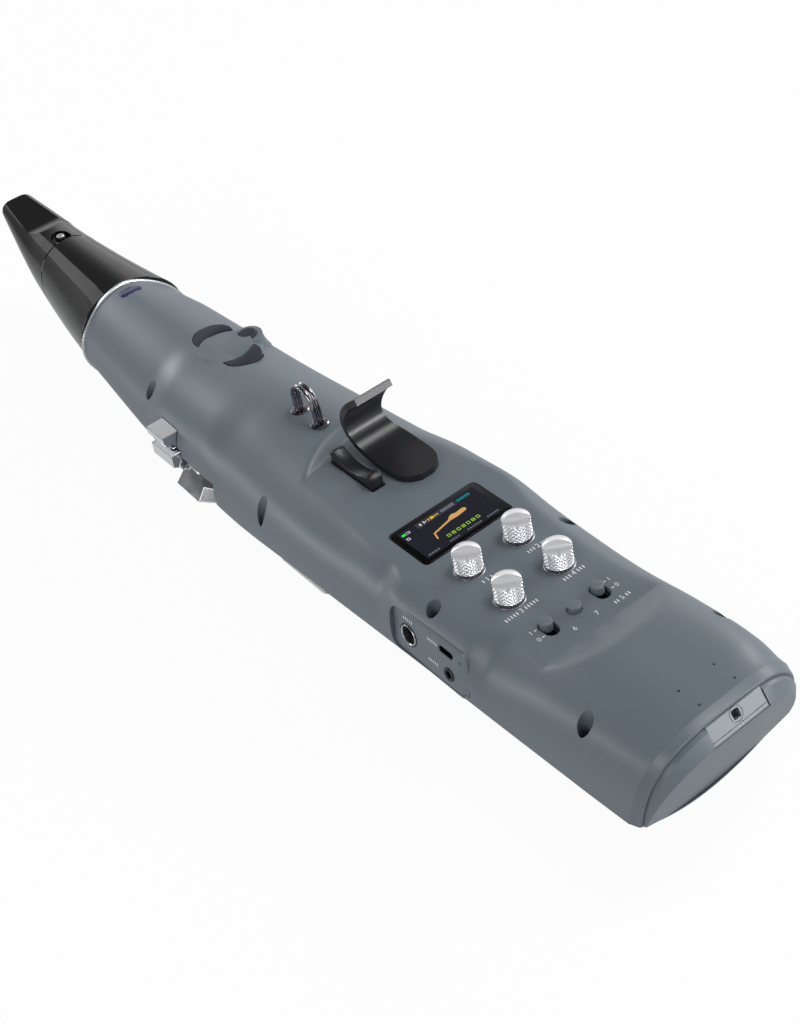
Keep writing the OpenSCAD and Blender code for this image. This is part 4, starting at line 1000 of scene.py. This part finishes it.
moulded_black, tree, shader = principled("moulded_black_nylon", Roughness=0.45, IOR=1.5)
shader.inputs["Base Color"].default_value = linear("#121214")
where = add(tree, "ShaderNodeTexCoord")
fine = add(tree, "ShaderNodeTexNoise", {"Scale": 1100.0, "Detail": 2.0}, {"Vector": where.outputs["Object"]})
ripple = add(tree, "ShaderNodeBump", {"Strength": 0.1, "Distance": 0.0001}, {"Height": fine.outputs["Fac"]})
tree.links.new(ripple.outputs[0], shader.inputs["Normal"])
phone_ring = flank_lathe("phone_jack_ring", [(4.3, -5), (5.2, -5), (5.2, 0.2), (4.95, 0.5), (4.6, 0.45), (4.3, 0)], -14.2, -0.7, hollow=True)
finish_piece(phone_ring, nickel)
phone_body = flank_lathe("phone_jack_barrel", [(5.25, 0.3), (5.65, 0.3), (5.65, -2.3), (6.7, -2.3), (6.7, -22), (0.05, -22),
                                               (0.05, -20.4), (3.25, -20.4), (3.25, -5.1), (5.25, -5.1)], -14.2, -0.7, hollow=True)
finish_piece(phone_body, moulded_black, nodes=["headphone_socket"])
aux_body = flank_lathe("line_jack_barrel", [(1.8, 0.2), (2.1, 0.6), (2.9, 0.6), (3.25, 0.3), (3.25, -2.3), (4.7, -2.3), (4.7, -14),
                                            (0.05, -14), (0.05, -12.4), (1.8, -12.4)], 13.4, -4.6, hollow=True)
finish_piece(aux_body, moulded_black, nodes=["audio_socket"])
usb = flank_piece("usb_mouth", pill_outline(11.8, 6.4, 9.6, 3.9), -9, -0.15, 0.12)
carve(usb, flank_piece("tool", pill_outline(11.8, 6.4, 9.0, 3.3), -8, 2, 0.0))
finish_piece(usb, dark_chrome, nodes=["usb_socket"])
tongue = flank_piece("usb_tongue", plate_outline(11.8, 6.4, 6, 0.7, 0.2), -8.5, -1.2, 0.1)
finish_piece(tongue, moulded_black)
lamp_cap, tree, shader = principled("diffused_light_pipe", Roughness=0.2, IOR=1.49)
shader.inputs["Base Color"].default_value = linear("#3d5a48")
light = flank_lathe("status_light_pipe", [(0.05, -6), (1.0, -6), (1.0, -0.1), (0.7, 0.1), (0.05, 0.15)], 21, 6.4, 24)
finish_piece(light, lamp_cap, nodes=["status_light"])


# End cap and tongue
# A painted plug closes the tail: its face leans back below a crest, with a chamfered band above it and
# a flush tongue that has one small square hole.
CREST = -0.3
cap_rows = [whole_row(TAIL_X, TAIL_X - 6, WALL + 0.1), whole_row(TAIL_X, TAIL_X, WALL + 0.1),
            whole_row(TAIL_X, TAIL_X + 4.5, 3.15)] + [whole_row(TAIL_X, TAIL_X + 6.8 + 0.874 * k, 3.5 + k) for k in range(9)]
cap_profile = [(HALF_LENGTH, CREST), (HALF_LENGTH, 30), (240, 30), (240, CREST - 60), (HALF_LENGTH - 0.385 * 60, CREST - 60)]
cap = carve(mesh_object("end_cap_plug", cap_rows), side_cut("clip", cap_profile, -60, 60), "INTERSECT")
crisp = cap.modifiers.new("broken_edges", "BEVEL")
crisp.width = 0.6 * MM
crisp.segments = 3
crisp.limit_method = "ANGLE"
crisp.angle_limit = math.radians(22)
evaluated(cap)
carve(cap, made_of("notch", lambda bm: box_verts(bm, 240, 330, -14.45, 14.45, CREST - 0.1, 30)))
finish_piece(cap, case_abs, nodes=["end_cap"], angle=12)
tongue_plate = side_prism("latch_tongue_plate", [(284, CREST), (HALF_LENGTH - 0.35, CREST), (HALF_LENGTH - 4.97, 6.9), (284, 6.9)], -14.2, 14.2, 0.25, 2)
hole = made_of("hole", prism_verts, plate_outline(0, 0, 3.8, 3.8, 0.8), -3, 6)
spin = Matrix.Translation(place(HALF_LENGTH - 3.75, 0, 4.2)) @ Matrix.Rotation(math.radians(57), 4, "Y") @ Matrix.Translation(-place(0, 0, 0))
hole.data.transform(spin)
carve(tongue_plate, hole)
groove = mesh_object("hole_groove", [[place(x, y, z) for x, y in arc(0, 0, r, 0, 354, 59)] for r, z in
                                     ((2.95, -0.16), (3.2, -0.16), (3.2, 3), (2.95, 3))], looped=True)
groove.data.transform(spin)
carve(tongue_plate, groove)
carve(tongue_plate, side_cut("step_line", [(300.6, 1.4), (300.7, 1.15), (299.9, 0.95), (299.8, 1.2)], -14.4, 14.4))
finish_piece(tongue_plate, case_abs, nodes=["latch_tongue"], angle=8)


# Palm keys and side keys
# Chrome-plated keys stand out of openings in the flanks; their faces are flat with broken edges.
chrome, tree, shader = principled("chrome_plate", Metallic=1.0, Roughness=0.1)
shader.inputs["Base Color"].default_value = linear("#eff0f3")
where = add(tree, "ShaderNodeTexCoord")
haze = add(tree, "ShaderNodeTexNoise", {"Scale": 120.0, "Detail": 3.0}, {"Vector": where.outputs["Object"]})
rough = add(tree, "ShaderNodeMapRange", {"To Min": 0.07, "To Max": 0.16}, {"Value": haze.outputs["Fac"]})
tree.links.new(rough.outputs["Result"], shader.inputs["Roughness"])


def key_block(name, x0, x1, outline, bevel, body=None):
    bm = bmesh.new()
    ends = [[bm.verts.new(place(x, y, z)) for y, z in outline] for x in (x0, x1)]
    bm.faces.new(ends[0])
    bm.faces.new(list(reversed(ends[1])))
    for i in range(len(outline)):
        k = (i + 1) % len(outline)
        bm.faces.new((ends[0][k], ends[0][i], ends[1][i], ends[1][k]))
    bmesh.ops.recalc_face_normals(bm, faces=bm.faces)
    mesh = bpy.data.meshes.new(name)
    bm.to_mesh(mesh)
    bm.free()
    obj = bpy.data.objects.new(name, mesh)
    scene.collection.objects.link(obj)
    return rounded_edges(obj, bevel) if bevel else obj


def rounded_edges(obj, width):
    broken = obj.modifiers.new("broken_edges", "BEVEL")
    broken.width = width * MM
    broken.segments = 3
    broken.limit_method = "ANGLE"
    broken.angle_limit = math.radians(15)
    evaluated(obj)
    return obj


PALM_HIGH = [(-37.2, -14.6), (-49.9, -14.6), (-49.9, -18.5), (-46, -23.4), (-37.2, -23.4)]
PALM_MIDDLE = [(-37.2, -24.1), (-49.9, -24.1), (-50.4, -31), (-46, -33.4), (-43, -35.7), (-37.2, -35.7)]
PALM_LOW_FACE = [(-44.2, -51.6, -39.5), (-42.6, -43.7, -30.3), (-29.8, -44.3, -30.9), (-25.5, -45, -31.7),
                 (-22.1, -46.6, -33.6), (-21.8, -51.4, -39.4), (-22.4, -51.9, -40.2)]
PALM_LOW_SKIRT = [(-45.4, -42, -43.5), (-43.4, -42, -30.2), (-29.4, -42, -29.3), (-22.2, -42, -31),
                  (-16.4, -42, -35.6), (-13.6, -42, -43), (-19.5, -42, -46.3)]
high = key_block("palm_key_high_cap", -66.4, -49.4, PALM_HIGH, 0.4)
finish_piece(high, chrome, "palm_key_high_body", ["palm_key_high"], 5)
middle = key_block("palm_key_middle_cap", -65.9, -45.1, PALM_MIDDLE, 0.4)
finish_piece(middle, chrome, "palm_key_middle_body", ["palm_key_middle"], 5)
low_rows = [[place(*p) for p in PALM_LOW_FACE], [place(*p) for p in PALM_LOW_SKIRT], [place(x, -37.3, z) for x, y, z in PALM_LOW_SKIRT]]
low = rounded_edges(mesh_object("palm_key_low_cap", low_rows), 0.2)
finish_piece(low, chrome, "palm_key_low_body", ["palm_key_low"], 5)
SIDE_FACE = [(37.2, -44.5), (52.2, -44.5), (53.5, -43), (53.5, -37.5), (52.2, -36), (37.2, -36)]
for name, x in (("side_key_upper", -8), ("side_key_lower", 19.5)):
    key = key_block(name + "_cap", x - 12, x + 12, SIDE_FACE, 0.5)
    finish_piece(key, chrome, name + "_body", [name], 5)


# Pearl keys
# Nickel cups on round stems, each with a nacre disc pressed in; the two table keys are nacre plates.
nacre, tree, shader = principled("nacre_plastic", Roughness=0.18, IOR=1.53)
where = add(tree, "ShaderNodeTexCoord")
swirl = add(tree, "ShaderNodeTexNoise", {"Scale": 70.0, "Detail": 4.0, "Distortion": 1.6}, {"Vector": where.outputs["Object"]})
milk = add(tree, "ShaderNodeValToRGB", {}, {"Fac": swirl.outputs["Fac"]})
milk.color_ramp.elements[0].color = linear("#d9d6cf")
milk.color_ramp.elements[1].color = linear("#f1efe9")
tree.links.new(milk.outputs["Color"], shader.inputs["Base Color"])
STEMS = {"pearl_key_b": (-108, -56), "pearl_key_a": (-84, -56), "pearl_key_g": (-60, -56),
         "pearl_key_f": (92, -50.6), "pearl_key_e": (117, -50.6), "pearl_key_d": (142, -50.6)}
for name, (x, top) in STEMS.items():
    cup = lathe(name + "_cup", [(0.1, top + 7), (3.0, top + 7), (3.0, top + 0.3), (9.2, top), (9.5, top - 0.4), (9.5, top - 2.6),
                                (9.0, top - 3.4), (8.3, top - 3.5), (7.6, top - 3.0), (0.1, top - 3.0)], x, 0)
    finish_piece(cup, chrome, name + "_body", [name], 30)
    disc = lathe(name + "_pearl", [(0.1, top - 2.8), (7.5, top - 2.8), (7.5, top - 3.4), (6.6, top - 3.8), (3.5, top - 4.0), (0.1, top - 4.0)], x, 0)
    finish_piece(disc, nacre, name + "_body", (), 40)
for name, (x, y) in (("left_table_key", (46, -26)), ("right_table_key", (176, 24))):
    touch = soft_prism(name + "_touch", plate_outline(x, y, 44, 24, 5, 10), -60, -56.8, 0.9, 3, True)
    finish_piece(touch, nacre, name + "_body", [name], 40)
    stem = lathe(name + "_stem", [(0.1, -57.2), (3.0, -57.2), (3.0, -38.5), (0.1, -38.5)], x, y)
    finish_piece(stem, chrome, name + "_body")


# Case screws
# Eight pan-head screws with a cross recess, dark zinc, one at the bottom of each well.
zinc, tree, shader = principled("black_zinc", Metallic=1.0, Roughness=0.35)
shader.inputs["Base Color"].default_value = linear("#4a4b4f")
where = add(tree, "ShaderNodeTexCoord")
pits = add(tree, "ShaderNodeTexNoise", {"Scale": 1500.0, "Detail": 2.0}, {"Vector": where.outputs["Object"]})
ripple = add(tree, "ShaderNodeBump", {"Strength": 0.15, "Distance": 0.0001}, {"Height": pits.outputs["Fac"]})
tree.links.new(ripple.outputs[0], shader.inputs["Normal"])

group = bpy.data.node_groups.new("screws_in_wells", "GeometryNodeTree")
for label, kind in (("Geometry", "NodeSocketGeometry"), ("Head Diameter", "NodeSocketFloat"), ("Head Height", "NodeSocketFloat"),
                    ("Recess Width", "NodeSocketFloat"), ("Finish", "NodeSocketMaterial")):
    group.interface.new_socket(name=label, in_out="INPUT", socket_type=kind)
group.interface.new_socket(name="Geometry", in_out="OUTPUT", socket_type="NodeSocketGeometry")
given = add(group, "NodeGroupInput")
half = add(group, "ShaderNodeMath", {"operation": "MULTIPLY", 1: 0.5}, {0: given.outputs["Head Diameter"]})
head = add(group, "GeometryNodeMeshCylinder", {"Vertices": 40}, {"Radius": half.outputs[0], "Depth": given.outputs["Head Height"]})
length = add(group, "ShaderNodeMath", {"operation": "MULTIPLY", 1: 0.56}, {0: given.outputs["Head Diameter"]})
bar_size = add(group, "ShaderNodeCombineXYZ", {"Z": 0.0016}, {"X": length.outputs[0], "Y": given.outputs["Recess Width"]})
cross_size = add(group, "ShaderNodeCombineXYZ", {"Z": 0.0016}, {"Y": length.outputs[0], "X": given.outputs["Recess Width"]})
bar_one = add(group, "GeometryNodeMeshCube", {}, {"Size": bar_size.outputs[0]})
bar_two = add(group, "GeometryNodeMeshCube", {}, {"Size": cross_size.outputs[0]})
lift_one = add(group, "GeometryNodeTransform", {"Translation": (0, 0, 0.0009)}, {"Geometry": bar_one.outputs["Mesh"]})
lift_two = add(group, "GeometryNodeTransform", {"Translation": (0, 0, 0.0009)}, {"Geometry": bar_two.outputs["Mesh"]})
recess = add(group, "GeometryNodeMeshBoolean", {"operation": "DIFFERENCE"}, {"Mesh 1": head.outputs["Mesh"]})
group.links.new(lift_one.outputs[0], recess.inputs["Mesh 2"])
group.links.new(lift_two.outputs[0], recess.inputs["Mesh 2"])
spread = add(group, "GeometryNodeInstanceOnPoints", {}, {"Points": given.outputs["Geometry"], "Instance": recess.outputs["Mesh"]})
real = add(group, "GeometryNodeRealizeInstances", {}, {"Geometry": spread.outputs[0]})
painted = add(group, "GeometryNodeSetMaterial", {}, {"Geometry": real.outputs[0], "Material": given.outputs["Finish"]})
add(group, "NodeGroupOutput", {}, {"Geometry": painted.outputs[0]})


def sockets_of(tree):
    return {item.name: item.identifier for item in tree.interface.items_tree if item.in_out == "INPUT"}


points = bpy.data.meshes.new("screw_heads")
points.from_pydata([place(x, s * y, well_floor(x) + 0.9) for x, y in WELLS for s in (-1, 1)], [], [])
screws = bpy.data.objects.new("screw_heads", points)
scene.collection.objects.link(screws)
spreader = screws.modifiers.new("screws", "NODES")
spreader.node_group = group
keys = sockets_of(group)
spreader[keys["Head Diameter"]] = 0.0050
spreader[keys["Head Height"]] = 0.0018
spreader[keys["Recess Width"]] = 0.0007
spreader[keys["Finish"]] = zinc
evaluated(screws)
finish_piece(screws, zinc, nodes=["case_screws"])
neck_screw = lathe("mouthpiece_screw_head", [(0.1, 12.0), (2.5, 12.0), (2.5, 13.5), (2.2, 13.9), (0.1, 13.9)], SCREW_X, 0)
carve(neck_screw, made_of("cross_a", lambda bm: box_verts(bm, SCREW_X - 1.6, SCREW_X + 1.6, -0.3, 0.3, 13.2, 15)))
carve(neck_screw, made_of("cross_b", lambda bm: box_verts(bm, SCREW_X - 0.3, SCREW_X + 0.3, -1.6, 1.6, 13.2, 15)))
finish_piece(neck_screw, nickel, nodes=["mouthpiece_screw"])


# Printed marks
# White pad-printed ticks and plain numerals beside the controls, one coat thick.
white_ink, tree, shader = principled("white_pad_print", Roughness=0.5)
where = add(tree, "ShaderNodeTexCoord")
grainy = add(tree, "ShaderNodeTexNoise", {"Scale": 800.0, "Detail": 3.0}, {"Vector": where.outputs["Object"]})
ink = add(tree, "ShaderNodeMix", {"data_type": "RGBA"}, {"Factor": grainy.outputs["Fac"]})
ink.inputs[6].default_value = linear("#e3e6e8")
ink.inputs[7].default_value = linear("#f4f5f6")
tree.links.new(ink.outputs[2], shader.inputs["Base Color"])


def numeral(text, x, y, height):
    letters = bpy.data.curves.new("numeral", "FONT")
    letters.body = text
    letters.size = 1.38 * height * MM
    letters.align_x = "CENTER"
    letters.align_y = "CENTER"
    letters.resolution_u = 4
    obj = bpy.data.objects.new("numeral", letters)
    scene.collection.objects.link(obj)
    flat = bpy.data.meshes.new_from_object(obj.evaluated_get(bpy.context.evaluated_depsgraph_get()))
    bpy.data.objects.remove(obj)
    for v in flat.vertices:
        px, py = x - v.co.y / MM, y + v.co.x / MM
        v.co = place(px, py, over_z(px, py) + 0.03)
    made = bpy.data.objects.new("numeral", flat)
    scene.collection.objects.link(made)
    return made


def tick(x, y, along, wide):
    bm = bmesh.new()
    corners = [(x - wide / 2, y - along / 2), (x + wide / 2, y - along / 2), (x + wide / 2, y + along / 2), (x - wide / 2, y + along / 2)]
    bm.faces.new([bm.verts.new(place(px, py, over_z(px, py) + 0.03)) for px, py in corners])
    mesh = bpy.data.meshes.new("tick")
    bm.to_mesh(mesh)
    bm.free()
    obj = bpy.data.objects.new("tick", mesh)
    scene.collection.objects.link(obj)
    return obj


KNOB_NUMBERS = {"1": (171.0, -12.4), "2": (171.4, 15.5), "3": (195.9, -15.2), "4": (195.4, 14.2)}
marks = [numeral(text, x, y, 2.8) for text, (x, y) in KNOB_NUMBERS.items()]
for (x, y), count in zip(KNOB_NUMBERS.values(), (1, 3, 5, 3)):
    marks += [tick(x, y + side * (2.3 + 1.5 * k), 0.55, 1.9) for side in (-1, 1) for k in range(count)]
for side in (-1, 1):
    for x, text in ((208.6, "1"), (213.6, "0")):
        marks.append(tick(x, side * (SWITCH_Y + 4.9), 1.4, 0.5))
        marks.append(numeral(text, x, side * (SWITCH_Y + 7.2), 2.3))
marks += [numeral("5", 220.6, 17.5, 2.6), numeral("6", 219.4, -7.4, 2.6), numeral("7", 219.6, 4.6, 2.6)]
marks += [tick(220.6, 17.5 + side * k, 0.55, 1.7) for side in (-1, 1) for k in (2.4, 3.8)]
for u, v in ((-14.2, 7.6), (2.6, 6.4), (2.6, -4.6)):
    for k in range(5):
        marks.append(flank_piece("plate_mark", plate_outline(u + 1.4 * (k - 2), v, 0.6, 1.5, 0.1), -0.02, 0.04, 0))
finish_piece(merged("panel_marks", marks), white_ink)


# Inner parts
# Printed boards, encoders, switch bodies, sensor, tube and battery, out of sight inside the case.
laminate, tree, shader = principled("green_laminate", Roughness=0.4)
where = add(tree, "ShaderNodeTexCoord")
weave = add(tree, "ShaderNodeTexChecker", {"Scale": 900.0, "Color1": linear("#1f5a3a"), "Color2": linear("#236341")}, {"Vector": where.outputs["Object"]})
tree.links.new(weave.outputs["Color"], shader.inputs["Base Color"])
wrap, tree, shader = principled("battery_wrap", Roughness=0.35)
where = add(tree, "ShaderNodeTexCoord")
crease = add(tree, "ShaderNodeTexNoise", {"Scale": 120.0, "Detail": 5.0}, {"Vector": where.outputs["Object"]})
ripple = add(tree, "ShaderNodeBump", {"Strength": 0.3, "Distance": 0.0004}, {"Height": crease.outputs["Fac"]})
tree.links.new(ripple.outputs[0], shader.inputs["Normal"])
shader.inputs["Base Color"].default_value = linear("#3b3d44")
inner = {"thumb_board": laminate, "display_module": laminate, "main_board": laminate, "key_boards": laminate,
         "battery_pack": wrap, "encoders": moulded_black, "switch_bodies": moulded_black, "breath_sensor": moulded_black,
         "breath_tube": moulded_black, "lever_pin": nickel}
for name, material in inner.items():
    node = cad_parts[name]
    node.data.materials.clear()
    node.data.materials.append(material)
